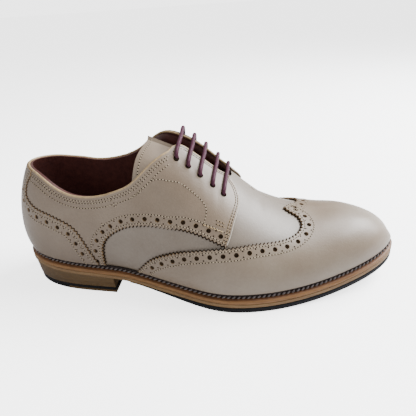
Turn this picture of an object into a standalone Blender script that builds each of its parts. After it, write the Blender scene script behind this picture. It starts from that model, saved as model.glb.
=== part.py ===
"""A right-foot derby brogue with wing tips, built piece by piece as a shoemaker joins it.

Metres, +Z up, toe towards +X, the foot's outer (lateral) side towards -Y. The origin is on the floor, under
the middle of the shoe. The last is one smooth form worked out from the sizes and tables below. The upper,
its overlays, the tongue, the rand and the soles all take their places from it.
"""

import functools
import math

import bmesh
import bpy
import numpy as np
from mathutils import Vector
from mathutils.geometry import delaunay_2d_cdt

MM = 0.001
WELD = 1e-6

# Sizes of the last
LAST_LENGTH = 294.5 * MM        # heel to toe along the upper's bottom edge
BALL_WIDTH = 98 * MM            # nominal width across that edge at the ball
INSTEP_HEIGHT = 100 * MM        # top line above the bottom edge, where the cone is highest
COLLAR_HEIGHT = 78 * MM         # collar above the bottom edge, at the heel
SIDE_BULGE = 2.4 * MM           # how far the wall swells past its bottom edge, at BULGE_AT above it
BULGE_AT = 12 * MM
HEEL_BULGE = 4.0 * MM           # the same at the back of the heel
HEEL_BULGE_AT = 25 * MM
ARCH_BULGE = 6.0 * MM           # how far the inner side swells over the arch, and the outer side beside it
OUTER_WAIST_BULGE = 1.5 * MM
ARCH_BULGE_AT = 26 * MM
BACK_LEAN = 17 * MM             # how far the heel's back leans forward at collar height, and how late
BACK_CURVE = 2.8
THROAT_GAP = 22 * MM            # between the two lace facings
TOE_ASIDE = 3 * MM              # the toe's tip, towards the inner side of the foot

# Sizes of the sole
HEEL_HEIGHT = 16 * MM           # floor to midsole at the heel's front
HEEL_RISE = 4.5 * MM            # how much higher the midsole lies at the heel's back
HEEL_LENGTH = 82 * MM
HEEL_TAPER = 1.5 * MM           # how far the block runs in towards the floor
TIP_LAYER = 2.5 * MM            # each of the two lowest layers of the heel
TOE_SPRING = 15 * MM
TREAD = 4.2 * MM                # rubber under the forefoot
MIDSOLE = 3.2 * MM
WELT = 3.0 * MM
WELT_OUT = 5.2 * MM             # sole edge outside the upper's bottom edge
RAND_HEIGHT = 4.0 * MM
RAND_THICK = 1.9 * MM

# Sizes of the leather
GAP = 0.3 * MM                  # between pieces that meet
ROUND_GAP = 0.55 * MM           # between overlay and upper, so that their facets stay clear
WALL = 1.8 * MM                 # upper with its lining
OVERLAY = 1.1 * MM              # wing cap and quarters
COUNTER = 1.5 * MM
INSOLE = 3.0 * MM
TONGUE = 1.8 * MM
TONGUE_WIDTH = 54 * MM
TONGUE_REACH = 26 * MM          # how far the tongue stands out past the facings' top
TONGUE_BEND = 38                # degrees by which its outer edge bends back there
TONGUE_TWIST = 1.0              # how much less its inner edge bends, as a share of that
TONGUE_SLIDE = 24 * MM          # how far its top has slid to the outer side
TONGUE_SLANT = 0.1              # how much further its outer edge stands out than its middle
TONGUE_SINK = 11 * MM           # how far it lies below the facings in the middle
LACE = 3.0 * MM
LACE_GAP = 0.8 * MM             # under the lace bars
EYELET_INSET = 14 * MM          # top eyelet back from the facing's edge
EYELET_SPREAD = 5.5 * MM        # how much further back the lowest one lies

# Where things lie, as shares of LAST_LENGTH from the heel
FLAT = (0.585, 0.675)           # where the tread touches the floor
THROAT_END = 0.585              # front end of the slot between the facings
ARCH_AT, ARCH_SPAN = 0.43, 0.14
THROAT_TOP = 0.435              # where the collar turns into the facings
TONGUE_ROOT = 0.63              # front end of the tongue, under the vamp
TIP_SPLIT = 0.115               # where rubber gives way to leather in the heel's lowest layer
EYELETS = (0.455, 0.483, 0.511, 0.541, 0.567)

# Plan of the upper's bottom edge: share of LAST_LENGTH from the heel, then shares of BALL_WIDTH to each side of
# the line from heel centre to toe
OUTLINE = (
    # along, lateral, medial
    (0.022, 0.138, 0.138),
    (0.070, 0.236, 0.234),
    (0.145, 0.297, 0.285),
    (0.245, 0.329, 0.302),
    (0.350, 0.370, 0.290),
    (0.450, 0.443, 0.300),
    (0.545, 0.511, 0.362),
    (0.620, 0.518, 0.424),
    (0.700, 0.476, 0.476),
    (0.785, 0.402, 0.483),
    (0.865, 0.306, 0.424),
    (0.935, 0.196, 0.308),
    (0.980, 0.085, 0.175),
)

# Top line of the last: height as a share of INSTEP_HEIGHT above the bottom edge, how far it lies to the inner
# side as a share of BALL_WIDTH, the section's roundness (2 is an ellipse, more is boxier), and how much fuller
# the inner side's shoulder is, as a share of INSTEP_HEIGHT
RIDGE = (
    # along, height, aside, roundness, shoulder
    (0.00, 1.10, 0.00, 2.7, 0.00),
    (0.15, 1.16, 0.01, 2.6, 0.00),
    (0.30, 1.17, 0.04, 2.2, 0.01),
    (0.40, 1.11, 0.07, 1.95, 0.075),
    (0.48, 0.98, 0.08, 1.85, 0.105),
    (0.55, 0.825, 0.08, 1.85, 0.06),
    (0.63, 0.630, 0.08, 1.95, 0.00),
    (0.71, 0.475, 0.085, 2.15, 0.00),
    (0.80, 0.388, 0.075, 2.30, 0.00),
    (0.88, 0.347, 0.055, 2.38, 0.00),
    (1.00, 0.302, 0.03, 2.42, 0.00),
)
TOE_ROLL = (0.84, 2.2)          # where the top line starts to roll down at the toe, and how squarely

# Collar line on the outer and the inner side: height above the bottom edge, as a share of COLLAR_HEIGHT
COLLAR = (
    # along, outer, inner
    (0.000, 0.97, 0.97),
    (0.045, 0.955, 0.95),
    (0.085, 0.91, 0.925),
    (0.125, 0.845, 0.91),
    (0.170, 0.795, 0.89),
    (0.215, 0.785, 0.90),
    (0.260, 0.81, 0.935),
    (0.310, 0.88, 1.01),
    (0.350, 0.975, 1.10),
    (0.390, 1.13, 1.20),
    (0.430, 1.24, 1.28),
    (0.480, 1.30, 1.32),
)

# Underside of the sole from the heel's front to the flat: height as a share of HEEL_HEIGHT, and how much of
# TREAD lies there
WAIST = (
    # along, height, tread
    (0.26, 1.00, 0.00),
    (0.31, 0.88, 0.02),
    (0.37, 0.63, 0.20),
    (0.43, 0.37, 0.55),
    (0.49, 0.16, 0.85),
    (0.54, 0.04, 0.98),
)
SPRING_CURVE = 1.75

# Edges of the overlays: share of LAST_LENGTH, then level, the share of a quarter turn round the section from
# just above the rand (0) to the top line (1)
WING_EDGE = (
    # along, level
    (0.338, 0.00),
    (0.357, 0.042),
    (0.381, 0.093),
    (0.411, 0.139),
    (0.437, 0.174),
    (0.475, 0.216),
    (0.541, 0.290),
    (0.607, 0.367),
    (0.653, 0.432),
    (0.689, 0.479),
    (0.715, 0.521),
    (0.741, 0.587),
    (0.756, 0.660),
    (0.761, 0.722),
    (0.759, 0.788),
    (0.751, 0.842),
    (0.733, 0.880),
    (0.719, 0.920),
)
COUNTER_EDGE = (
    # along, level
    (0.046, 0.46),
    (0.035, 0.36),
    (0.028, 0.30),
    (0.030, 0.255),
    (0.041, 0.22),
    (0.057, 0.20),
    (0.080, 0.183),
    (0.105, 0.172),
    (0.135, 0.157),
    (0.160, 0.143),
    (0.178, 0.124),
    (0.192, 0.095),
    (0.203, 0.065),
    (0.213, 0.038),
    (0.230, 0.00),
)
SWAN_EDGE = (
    # along, level
    (0.249, 0.00),
    (0.250, 0.04),
    (0.252, 0.07),
    (0.259, 0.10),
    (0.270, 0.126),
    (0.285, 0.151),
    (0.303, 0.178),
    (0.323, 0.205),
    (0.349, 0.232),
    (0.390, 0.268),
    (0.427, 0.293),
    (0.477, 0.324),
    (0.523, 0.338),
    (0.573, 0.330),
)
FRONT_EDGE = (
    # along, level
    (0.573, 0.330),
    (0.581, 0.39),
    (0.591, 0.502),
    (0.601, 0.618),
    (0.605, 0.695),
    (0.601, 0.768),
    (0.592, 0.825),
    (0.576, 0.87),
)

# How finely the forms are divided
STATIONS = 40
LEVELS = 10
LOW_LEVELS = 1.15               # above 1, levels lie closer together near the sole
SLOT_STEPS = (0.0, 1.2 * MM, 4 * MM, 9 * MM)     # sections behind the slot's front end
SOLE_STATIONS = 36
OUTLINE_POINTS = 900
ROUND_STEP = 6 * MM             # spacing of points along an overlay's edge


def spline(knots, values, at):
    """A natural cubic spline through the rows of a table."""
    knots = np.asarray(knots, float)
    values = np.asarray(values, float)
    width = np.diff(knots)
    slope = np.diff(values) / width
    count = len(knots)
    system = np.eye(count)
    right = np.zeros(count)
    for i in range(1, count - 1):
        system[i, i - 1 : i + 2] = width[i - 1], 2 * (width[i - 1] + width[i]), width[i]
        right[i] = 6 * (slope[i] - slope[i - 1])
    bend = np.linalg.solve(system, right)
    at = np.clip(at, knots[0], knots[-1])
    i = np.clip(np.searchsorted(knots, at) - 1, 0, count - 2)
    wide = width[i]
    before = knots[i + 1] - at
    after = at - knots[i]
    curved = (bend[i] * before**3 + bend[i + 1] * after**3) / (6 * wide)
    from_left = (values[i] / wide - bend[i] * wide / 6) * before
    from_right = (values[i + 1] / wide - bend[i + 1] * wide / 6) * after
    return curved + from_left + from_right


def column(table, index, at):
    rows = np.array(table)
    return spline(rows[:, 0], rows[:, index], at)


@functools.lru_cache(maxsize=None)
def plan_outline():
    """The bottom edge seen from above, as dense points with their outward normals, from the heel round the
    outer side to the toe and back along the inner side."""
    lateral = [(along * LAST_LENGTH, -out * BALL_WIDTH) for along, out, _ in OUTLINE]
    medial = [(along * LAST_LENGTH, out * BALL_WIDTH) for along, _, out in OUTLINE]
    points = np.array([(0, 0), *lateral, (LAST_LENGTH, TOE_ASIDE), *reversed(medial)])
    overlap = 5
    wrapped = np.concatenate([points[-overlap:], points, points[: overlap + 1]])
    chord = np.concatenate([[0], np.cumsum(np.linalg.norm(np.diff(wrapped, axis=0), axis=1))])
    start, end = chord[overlap], chord[overlap + len(points)]
    at = start + (end - start) * np.arange(-1, OUTLINE_POINTS + 2) / OUTLINE_POINTS
    x = spline(chord, wrapped[:, 0], at)
    y = spline(chord, wrapped[:, 1], at)
    along, across = x[2:] - x[:-2], y[2:] - y[:-2]
    size = np.hypot(along, across)
    ring = np.array([x[1:-1], y[1:-1], across / size, -along / size])
    ring[:, -1] = ring[:, 0]
    return ring


@functools.lru_cache(maxsize=None)
def edge_sides(out):
    """The bottom edge moved outwards by `out`: per side, x from heel to toe with y and the normal there."""
    x, y, nx, ny = plan_outline()
    x, y = x + nx * out, y + ny * out
    toe = int(np.argmax(x))
    outer = slice(0, toe + 1)
    inner = slice(None, toe - 1 if toe else None, -1)
    return {-1: (x[outer], y[outer], nx[outer], ny[outer]), 1: (x[inner], y[inner], nx[inner], ny[inner])}


def edge_point(share, side, out):
    """(x, y, normal x, normal y) at a share of the moved edge's own length."""
    found = np.zeros((4, *np.shape(share)))
    for which, (x, y, nx, ny) in edge_sides(out).items():
        here = side == which
        at = x[0] + share * (x[-1] - x[0])
        for row, values in enumerate((x, y, nx, ny)):
            found[row][here] = np.interp(at[here], x, values)
        found[0][here] = at[here]
    return found


def underside(x):
    """Height of the tread's underside above the floor, behind the heel's front as if it went on to the back."""
    share = x / LAST_LENGTH
    waist = np.array([*WAIST, (FLAT[0], 0.0, 1.0), (FLAT[0] + 0.02, 0.0, 1.0)])
    height = HEEL_HEIGHT * spline(waist[:, 0], waist[:, 1], np.clip(share, WAIST[0][0], FLAT[0]))
    behind = np.clip((WAIST[0][0] - share) / WAIST[0][0], 0, None)
    toe = np.clip((share - FLAT[1]) / (1 - FLAT[1]), 0, None)
    flat = np.where(share >= FLAT[0], 0.0, np.maximum(height, 0.0))
    return flat + HEEL_RISE * behind**1.1 + TOE_SPRING * toe**SPRING_CURVE


def tread(x):
    """Thickness of the rubber at x."""
    return TREAD * np.clip(column(WAIST, 2, x / LAST_LENGTH), 0, 1)


def midsole_bottom(x):
    return underside(x) + tread(x) + np.where(x < HEEL_LENGTH, 0, GAP)


def midsole_top(x):
    return midsole_bottom(x) + MIDSOLE


def welt_bottom(x):
    return midsole_top(x) + GAP


def welt_top(x):
    return welt_bottom(x) + WELT


def bed(x):
    """Height of the upper's bottom edge."""
    return welt_top(x) + GAP


def toe_roll(share):
    start, square = TOE_ROLL
    past = np.clip((share - start) / (1 - start), 0, 1)
    return (1 - past**square) ** (1 / square)


def steepness(share):
    """How much longer a vertical step is than the same step square to the top line."""
    step = 0.01
    run = 2 * step * LAST_LENGTH
    rise = INSTEP_HEIGHT * (column(RIDGE, 1, share + step) - column(RIDGE, 1, share - step))
    return np.sqrt(1 + (rise / run) ** 2)


def ridge_height(share, out, lift):
    """Top line above the level `lift`, on the last grown by `out`."""
    height = (INSTEP_HEIGHT * column(RIDGE, 1, share) + out * steepness(share)) * toe_roll(share)
    if not lift:
        return height
    return height - lift * (1 - np.exp(-height / lift))


def half_slot(share):
    """Half of the gap between the facings, closing in a round end."""
    left = np.clip((THROAT_END - share) * LAST_LENGTH / (THROAT_GAP / 2), 0, 1)
    return THROAT_GAP / 2 * np.sqrt(left * (2 - left))


def top_angle(share, side, half, height, power, lift):
    """Where a section ends: at the collar, at the facings' edge or, past the slot, at the top line."""
    rise = np.where(side < 0, column(COLLAR, 1, share), column(COLLAR, 2, share))
    level = (COLLAR_HEIGHT * rise - lift) / np.maximum(height, MM)
    collar = np.arcsin(np.clip(level, 0, 1) ** (1 / power))
    slot = np.clip(half_slot(share) / np.maximum(half, MM), 0, 1)
    in_slot = (share > THROAT_TOP - 0.08) & (share < THROAT_END)
    facing = np.where(in_slot, np.arccos(slot ** (1 / power)), math.pi / 2)
    sharp = 14
    blend = -np.log(np.exp(-sharp * collar) + np.exp(-sharp * facing)) / sharp
    fade = np.clip((share - THROAT_TOP) / (0.25 * (THROAT_END - THROAT_TOP)), 0, 1)
    return blend + (facing - blend) * fade


def section_sizes(share, side, out, lift):
    """(x, y, normal x, normal y, middle, half width, height, power) of the section at a share of the length."""
    x, y, nx, ny = edge_point(share, side, out)
    middle = BALL_WIDTH * column(RIDGE, 2, share)
    heel, *_, tip = edge_sides(out)[1][1]
    near_end = 0.1
    middle = middle + (heel - middle) * np.clip(1 - share / near_end, 0, 1)
    middle = middle + (tip - middle) * np.clip(1 - (1 - share) / near_end, 0, 1)
    power = 2 / column(RIDGE, 3, share)
    return x, y, nx, ny, middle, np.abs(y - middle), ridge_height(share, out, lift), power


def swell(share, side, up):
    """How far the wall stands out past the bottom edge, at a height above it."""
    back = np.clip(1 - share / 0.22, 0, 1) ** 1.5
    arch = np.exp(-(((share - ARCH_AT) / ARCH_SPAN) ** 2)) * np.clip(share / ARCH_SPAN, 0, 1)
    size = SIDE_BULGE + (HEEL_BULGE - SIDE_BULGE) * back
    at = up / (BULGE_AT + (HEEL_BULGE_AT - BULGE_AT) * back)
    over_arch = up / ARCH_BULGE_AT
    extra = np.where(side > 0, ARCH_BULGE, OUTER_WAIST_BULGE) * arch * over_arch * np.exp(1 - over_arch)
    return size * at * np.exp(1 - at) + extra


def shoulder(share, angle):
    """How much higher the inner side is than the plain section, most at two thirds of the way up."""
    way = np.clip(angle / (math.pi / 2), 0, 1)
    most = (2 / 3) ** 4 * (1 / 3) ** 2
    return INSTEP_HEIGHT * column(RIDGE, 4, share) * way**4 * (1 - way) ** 2 / most


def section_point(share, side, angle, out=0.0, lift=0.0):
    """A point of the form at an angle of its section: 0 at the bottom edge, a quarter turn at the top line."""
    x, _, nx, ny, middle, half, height, power = section_sizes(share, side, out, lift)
    up = lift + height * np.abs(np.sin(angle)) ** power + np.where(side > 0, shoulder(share, angle), 0)
    level = np.abs(np.cos(angle))
    bulge = swell(share, side, up) * level
    lean = BACK_LEAN * np.clip(1 - share / 0.35, 0, 1) * (up / COLLAR_HEIGHT) ** BACK_CURVE
    across = middle + side * half * level**power
    return np.stack([x + nx * bulge + lean, across + ny * bulge, bed(x) + up], axis=-1)


def limit(share, side, out=0.0, lift=0.0):
    *_, half, height, power = section_sizes(share, side, out, lift)
    return top_angle(share, side, half, height, power, lift)


def form(turn, side, level, out=0.0, lift=0.0):
    """Points on the last grown by `out`.

    turn runs 0 to 1 from heel to toe, crowded at both ends. side is -1 on the outer side of the foot and 1 on
    the inner. level runs 0 to 1 from the bottom edge, or from `lift` above it, to the top line.
    """
    turn, side, level = np.broadcast_arrays(np.asarray(turn, float), side, np.asarray(level, float))
    share = (1 - np.cos(math.pi * turn)) / 2
    fit = limit(share, side, out, lift) / limit(share, side)
    return section_point(share, side, np.clip(level, 0, 1) * math.pi / 2 * fit, out, lift)


def turn_at(share):
    return np.arccos(np.clip(1 - 2 * np.asarray(share, float), -1, 1)) / math.pi


def stations():
    """Sections of the upper, with more of them where the slot and the collar turn."""
    slot = THROAT_END - np.array(SLOT_STEPS) / LAST_LENGTH
    return np.array(sorted({*np.linspace(0, 1, STATIONS + 1), *turn_at(slot)}))


def material(name, colour, roughness, metallic=0.0):
    made = bpy.data.materials.new(name)
    made.use_nodes = True
    shader = made.node_tree.nodes["Principled BSDF"]
    shader.inputs["Base Color"].default_value = (*colour, 1.0)
    shader.inputs["Roughness"].default_value = roughness
    shader.inputs["Metallic"].default_value = metallic
    made.diffuse_color = (*colour, 1.0)
    return made


def add_solid(name, points, faces, look, sharp=50):
    """One closed mesh object, its faces turned outwards, smooth over edges flatter than `sharp` degrees."""
    mesh = bpy.data.meshes.new(name)
    mesh.from_pydata([tuple(point) for point in points], [], [list(map(int, face)) for face in faces])
    work = bmesh.new()
    work.from_mesh(mesh)
    bmesh.ops.remove_doubles(work, verts=work.verts, dist=WELD)
    bmesh.ops.recalc_face_normals(work, faces=work.faces)
    if work.calc_volume(signed=True) < 0:
        bmesh.ops.reverse_faces(work, faces=work.faces)
    work.to_mesh(mesh)
    work.free()
    mesh.shade_smooth()
    mesh.set_sharp_from_angle(angle=math.radians(sharp))
    mesh.materials.append(material(name, *look))
    piece = bpy.data.objects.new(name, mesh)
    bpy.context.scene.collection.objects.link(piece)
    return piece


def shell(outer, inner, faces):
    """Points and faces of the solid between two matching sheets. Points that meet on the outer one are joined."""
    _, first, index = np.unique(np.round(outer / WELD).astype(np.int64), axis=0, return_index=True, return_inverse=True)
    index = index.reshape(-1)
    kept = []
    for face in faces:
        ring = [int(index[corner]) for corner in face]
        ring = [corner for k, corner in enumerate(ring) if corner != ring[k - 1]]
        if len(set(ring)) > 2:
            kept.append(ring)
    uses = {}
    for ring in kept:
        for a, b in zip(ring, ring[1:] + ring[:1]):
            uses.setdefault((min(a, b), max(a, b)), []).append((a, b))
    count = len(first)
    rim = [(b, a, a + count, b + count) for (a, b), *more in uses.values() if not more]
    back = [[corner + count for corner in reversed(ring)] for ring in kept]
    return np.concatenate([outer[first], inner[first]]), kept + back + rim


def grid_faces(rows, columns, start=0):
    return [
        (start + i * columns + j, start + (i + 1) * columns + j, start + (i + 1) * columns + j + 1, start + i * columns + j + 1)
        for i in range(rows - 1)
        for j in range(columns - 1)
    ]


def top_level(turn, side):
    """The level at which the upper ends."""
    share = (1 - np.cos(math.pi * np.asarray(turn, float))) / 2
    return limit(share, np.broadcast_to(side, share.shape)) / (math.pi / 2)


def upper_grid():
    """Stations of the upper against its levels, as shares of the top level."""
    return np.meshgrid(stations(), np.linspace(0, 1, LEVELS + 1) ** LOW_LEVELS, indexing="ij")


def make_upper():
    """The vamp and the lined quarters under the overlays, as one wall open at the collar, slot and bottom."""
    turn, rise = upper_grid()
    sheets = {}
    for out in (0.0, -WALL):
        sides = [form(turn, side, rise * top_level(turn, side), out).reshape(-1, 3) for side in (-1, 1)]
        sheets[out] = np.concatenate(sides)
    faces = grid_faces(*turn.shape) + grid_faces(*turn.shape, start=turn.size)
    points, faces = shell(sheets[0.0], sheets[-WALL], faces)
    add_solid("upper", points, faces, LEATHER)


# The overlays are laid out flat before they are put on the form. These turn the form's own two coordinates
# into lengths, so that an outline keeps its proportions on the flat.
TURN_LENGTH = LAST_LENGTH * math.pi / 2
RISE_LENGTH = 110 * MM


def flat_rows(table):
    """A table's rows laid flat."""
    rows = np.array(table)
    return np.stack([turn_at(rows[:, 0]) * TURN_LENGTH, rows[:, 1] * RISE_LENGTH], axis=1)


def flat_curve(table):
    """A smooth curve through a table's rows, with points ROUND_STEP apart."""
    rows = flat_rows(table)
    chord = np.concatenate([[0], np.cumsum(np.linalg.norm(np.diff(rows, axis=0), axis=1))])
    at = np.linspace(0, chord[-1], max(2, round(chord[-1] / ROUND_STEP)) + 1)
    return np.stack([spline(chord, rows[:, 0], at), spline(chord, rows[:, 1], at)], axis=1)


def flat_line(start, end):
    """Points on a straight side of an outline, ends left out, ROUND_STEP apart."""
    start, end = np.array(start), np.array(end)
    count = max(1, round(np.linalg.norm(end - start) / ROUND_STEP))
    return start + (end - start) * np.arange(1, count)[:, None] / count


def stations_between(start, end):
    """The upper's own stations between two flat places, in order from start to end."""
    turns = stations() * TURN_LENGTH
    low, high = sorted((start, end))
    found = turns[(turns > low + MM) & (turns < high - MM)]
    return found if start < end else found[::-1]


def inside(points, outline):
    x, y = points[:, 0], points[:, 1]
    result = np.zeros(len(points), bool)
    for (x1, y1), (x2, y2) in zip(outline, np.roll(outline, -1, axis=0)):
        crosses = (y1 > y) != (y2 > y)
        with np.errstate(divide="ignore", invalid="ignore"):
            result ^= crosses & (x < (x2 - x1) * (y - y1) / (y2 - y1) + x1)
    return result


def clear_of(points, outline, least):
    """Which points are at least `least` from an outline."""
    near = np.full(len(points), np.inf)
    for start, end in zip(outline, np.roll(outline, -1, axis=0)):
        way = end - start
        part = np.clip((points - start) @ way / max(way @ way, WELD**2), 0, 1)
        near = np.minimum(near, np.linalg.norm(points - start - part[:, None] * way, axis=1))
    return near > least


def lattice(signed, side):
    """The upper's own grid laid flat, so that an overlay has its corners above the upper's."""
    turn, rise = upper_grid()
    outer, inner = (rise * top_level(turn, which) for which in (-1, 1))
    if signed == "turn":
        parts = [(turn, outer), (-turn[1:], inner[1:])]
    elif signed == "level":
        parts = [(turn, outer), (turn, 2 - inner)]
    else:
        parts = [(turn, outer if side < 0 else inner)]
    flat = [np.stack([a.reshape(-1) * TURN_LENGTH, b.reshape(-1) * RISE_LENGTH], axis=1) for a, b in parts]
    return np.unique(np.round(np.concatenate(flat), 6), axis=0)


def add_overlay(name, outline, signed, side, thick, look):
    """Cuts an overlay out of the space between two grown forms, along an outline laid flat.

    signed names the coordinate that crosses to the inner side: below 0 for turn, above 1 for level.
    """
    grid = lattice(signed, side)
    grid = grid[inside(grid, outline)]
    grid = grid[clear_of(grid, outline, ROUND_STEP * 0.4)]
    flat = [Vector(point) for point in (*outline, *grid)]
    points, _, faces, *_ = delaunay_2d_cdt(flat, [], [list(range(len(outline)))], 1, 1e-7)
    flat = np.array([tuple(point) for point in points])
    turn, level = flat[:, 0] / TURN_LENGTH, flat[:, 1] / RISE_LENGTH
    if signed == "turn":
        side = np.where(turn < 0, 1, -1)
        turn = np.abs(turn)
    if signed == "level":
        side = np.where(level > 1, 1, -1)
        level = np.where(level > 1, 2 - level, level)
    lift = RAND_HEIGHT + 2 * GAP
    outer = form(turn, side, level, ROUND_GAP + thick, lift)
    inner = form(turn, side, level, ROUND_GAP, lift)
    add_solid(name, *shell(outer, inner, faces), look)


def opposite(curve):
    """A flat curve from the outer side's bottom edge, carried over to the inner side from where it ends."""
    other = curve[::-1].copy()
    peak = other[0, 1]
    other[:, 1] = 2 * RISE_LENGTH - other[:, 1] - 2 * (RISE_LENGTH - peak) * (other[:, 1] / peak) ** 5
    return other


def make_wing_cap():
    edge = flat_curve(WING_EDGE)
    edge = np.concatenate([edge, opposite(edge)[1:]])
    corners = np.array([(TURN_LENGTH, 2 * RISE_LENGTH), (TURN_LENGTH, 0)])
    inner = [(turn, 2 * RISE_LENGTH) for turn in stations_between(edge[-1, 0], TURN_LENGTH)]
    outer = [(turn, 0) for turn in stations_between(TURN_LENGTH, edge[0, 0])]
    outline = np.concatenate([edge, inner, corners[:1], flat_line(*corners), corners[1:], outer])
    add_overlay("wing_cap", outline, "level", None, OVERLAY, LEATHER)


def top_edge(start, end, side):
    """The upper's top edge between two flat places, both included."""
    places = np.array([start, *stations_between(start, end), end])
    return np.stack([places, RISE_LENGTH * top_level(places / TURN_LENGTH, side)], axis=1)


def below_top(curve, side):
    """The part of a flat curve that lies clear below the upper's top edge."""
    top = RISE_LENGTH * top_level(curve[:, 0] / TURN_LENGTH, side)
    return curve[curve[:, 1] < top - ROUND_STEP / 4]


def make_counter():
    edge = below_top(flat_curve(COUNTER_EDGE), -1)
    outer = [(turn, 0) for turn in stations_between(edge[-1, 0], 0)]
    half = np.concatenate([top_edge(0, edge[0, 0], -1), edge, outer, [(0, 0)]])
    other = half[-2:0:-1] * (-1, 1)
    add_overlay("heel_counter", np.concatenate([half, other]), "turn", None, COUNTER, LEATHER)


def moved(curve, distance):
    """A flat curve moved to its left by a distance."""
    way = np.gradient(curve, axis=0)
    way /= np.linalg.norm(way, axis=1)[:, None]
    return curve + distance * np.stack([-way[:, 1], way[:, 0]], axis=1)


def make_quarters():
    """The two sides that carry the lace facings."""
    swan = flat_curve(SWAN_EDGE)
    front = flat_curve(FRONT_EDGE)[1:-1]
    front_end = flat_rows(FRONT_EDGE)[-1, 0]
    for name, side in (("quarter_lateral", -1), ("quarter_medial", 1)):
        rear = below_top(moved(flat_curve(COUNTER_EDGE), 1.5 * GAP), side)
        rear[-1, 1] = 0
        top = top_edge(front_end, rear[0, 0], side)
        bottom = [(turn, 0) for turn in stations_between(rear[-1, 0], swan[0, 0])]
        outline = np.concatenate([rear, np.reshape(bottom, (-1, 2)), swan, front, top])
        add_overlay(name, outline, None, side, OVERLAY, LEATHER)


def edge_rows(out, start=None, end=None):
    """(x, outer y, inner y) of the moved edge, at stations crowded at its round ends."""
    x_outer, y_outer, *_ = edge_sides(out)[-1]
    x_inner, y_inner, *_ = edge_sides(out)[1]
    low, high = x_outer[0], x_outer[-1]
    if start is None and end is None:
        x = low + (high - low) * (1 - np.cos(np.linspace(0, math.pi, SOLE_STATIONS + 1))) / 2
    elif start is None:
        x = low + (end - low) * (1 - np.cos(np.linspace(0, math.pi / 2, SOLE_STATIONS // 2)))
    elif end is None:
        x = high - (high - start) * (1 - np.cos(np.linspace(math.pi / 2, 0, SOLE_STATIONS * 3 // 4)))
    else:
        x = np.linspace(start, end, SOLE_STATIONS // 3)
    return x, np.interp(x, x_outer, y_outer), np.interp(x, x_inner, y_inner)


def slab(levels, start, end):
    """Rings of a solid from bottom to top, each level given as (how far out, height above the floor at x)."""
    rings = []
    for out, height in levels:
        x, outer, inner = edge_rows(out, start, end)
        z = height(x)
        rings.append(np.stack([np.stack([x, outer, z], 1), np.stack([x, inner, z], 1)]))
    return np.array(rings), len(x)


def add_slab(name, levels, look, start=None, end=None):
    rings, count = slab(levels, start, end)
    tall = len(rings)
    points = rings.reshape(-1, 3)

    def at(level, side, i):
        return (level * 2 + side) * count + i

    faces = []
    for i in range(count - 1):
        for level in range(tall - 1):
            for side in (0, 1):
                faces.append((at(level, side, i), at(level, side, i + 1), at(level + 1, side, i + 1), at(level + 1, side, i)))
        for level in (0, tall - 1):
            faces.append((at(level, 0, i), at(level, 1, i), at(level, 1, i + 1), at(level, 0, i + 1)))
    for i, cut in ((0, start), (count - 1, end)):
        if cut is not None:
            faces.append([at(level, 0, i) for level in range(tall)] + [at(level, 1, i) for level in reversed(range(tall))])
    add_solid(name, points, faces, look)


def ring_faces(size, count):
    """Faces round a closed band of `size` rings of `count` points each."""
    faces = []
    for level in range(size):
        above_it = (level + 1) % size
        for i in range(count):
            after = (i + 1) % count
            faces.append((level * count + i, level * count + after, above_it * count + after, above_it * count + i))
    return faces


def add_ring(name, section, look):
    """A band all the way round: section holds (how far out, height above the floor at x) around its profile."""
    count = 2 * SOLE_STATIONS
    points = []
    for out, height in section:
        x, outer, inner = edge_rows(out)
        ring = [(a, b) for a, b in zip(x, outer)] + [(a, b) for a, b in zip(x[-2:0:-1], inner[-2:0:-1])]
        ring = np.array(ring)
        points.append(np.column_stack([ring, height(ring[:, 0])]))
    add_solid(name, np.concatenate(points), ring_faces(len(section), count), look)


def above(line, height):
    return lambda x: line(x) + height


def at_height(height):
    return lambda x: np.full(np.shape(x), height)


def make_soles():
    edge = WELT_OUT
    soft = 0.6 * MM
    sole_start = WAIST[1][0] * LAST_LENGTH
    add_slab(
        "outsole_rubber",
        (
            (edge - soft, underside),
            (edge, lambda x: underside(x) + 0.3 * tread(x)),
            (edge, lambda x: underside(x) + tread(x)),
        ),
        RUBBER,
        start=sole_start,
    )
    add_slab(
        "midsole",
        (
            (edge - soft, midsole_bottom),
            (edge, above(midsole_bottom, MIDSOLE / 2)),
            (edge - soft / 2, midsole_top),
        ),
        EDGE_LEATHER,
    )
    inner = -WALL
    add_ring(
        "welt",
        (
            (inner, welt_bottom),
            (edge - soft / 2, welt_bottom),
            (edge, above(welt_bottom, WELT / 2)),
            (edge - soft, welt_top),
            (inner, welt_top),
        ),
        WELT_LEATHER,
    )
    inset = -WALL - 2 * GAP
    add_slab("insole", ((inset, above(midsole_top, GAP)), (inset, above(bed, INSOLE))), LINING)


def make_rand():
    """The strip that stands on the welt, leaning with the upper's wall."""
    half = (1 - np.cos(np.linspace(0, math.pi, SOLE_STATIONS + 1))) / 2
    share = np.concatenate([half, half[-2:0:-1]])
    side = np.where(np.arange(len(share)) < len(half), -1, 1)
    x, y, nx, ny = edge_point(share, side, GAP)
    profile = (
        # outside the upper, above the bed
        (0, 0),
        (RAND_THICK, 0),
        (RAND_THICK, 0.5 * RAND_HEIGHT),
        (0.45 * RAND_THICK, RAND_HEIGHT),
        (0, RAND_HEIGHT),
        (0, 0.5 * RAND_HEIGHT),
    )
    rings = []
    for thick, up in profile:
        out = thick + swell(share, side, up)
        along = x + nx * out
        rings.append(np.column_stack([along, y + ny * out, bed(along) + up]))
    add_solid("rand", np.concatenate(rings), ring_faces(len(profile), len(share)), RAND_LEATHER)


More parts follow.
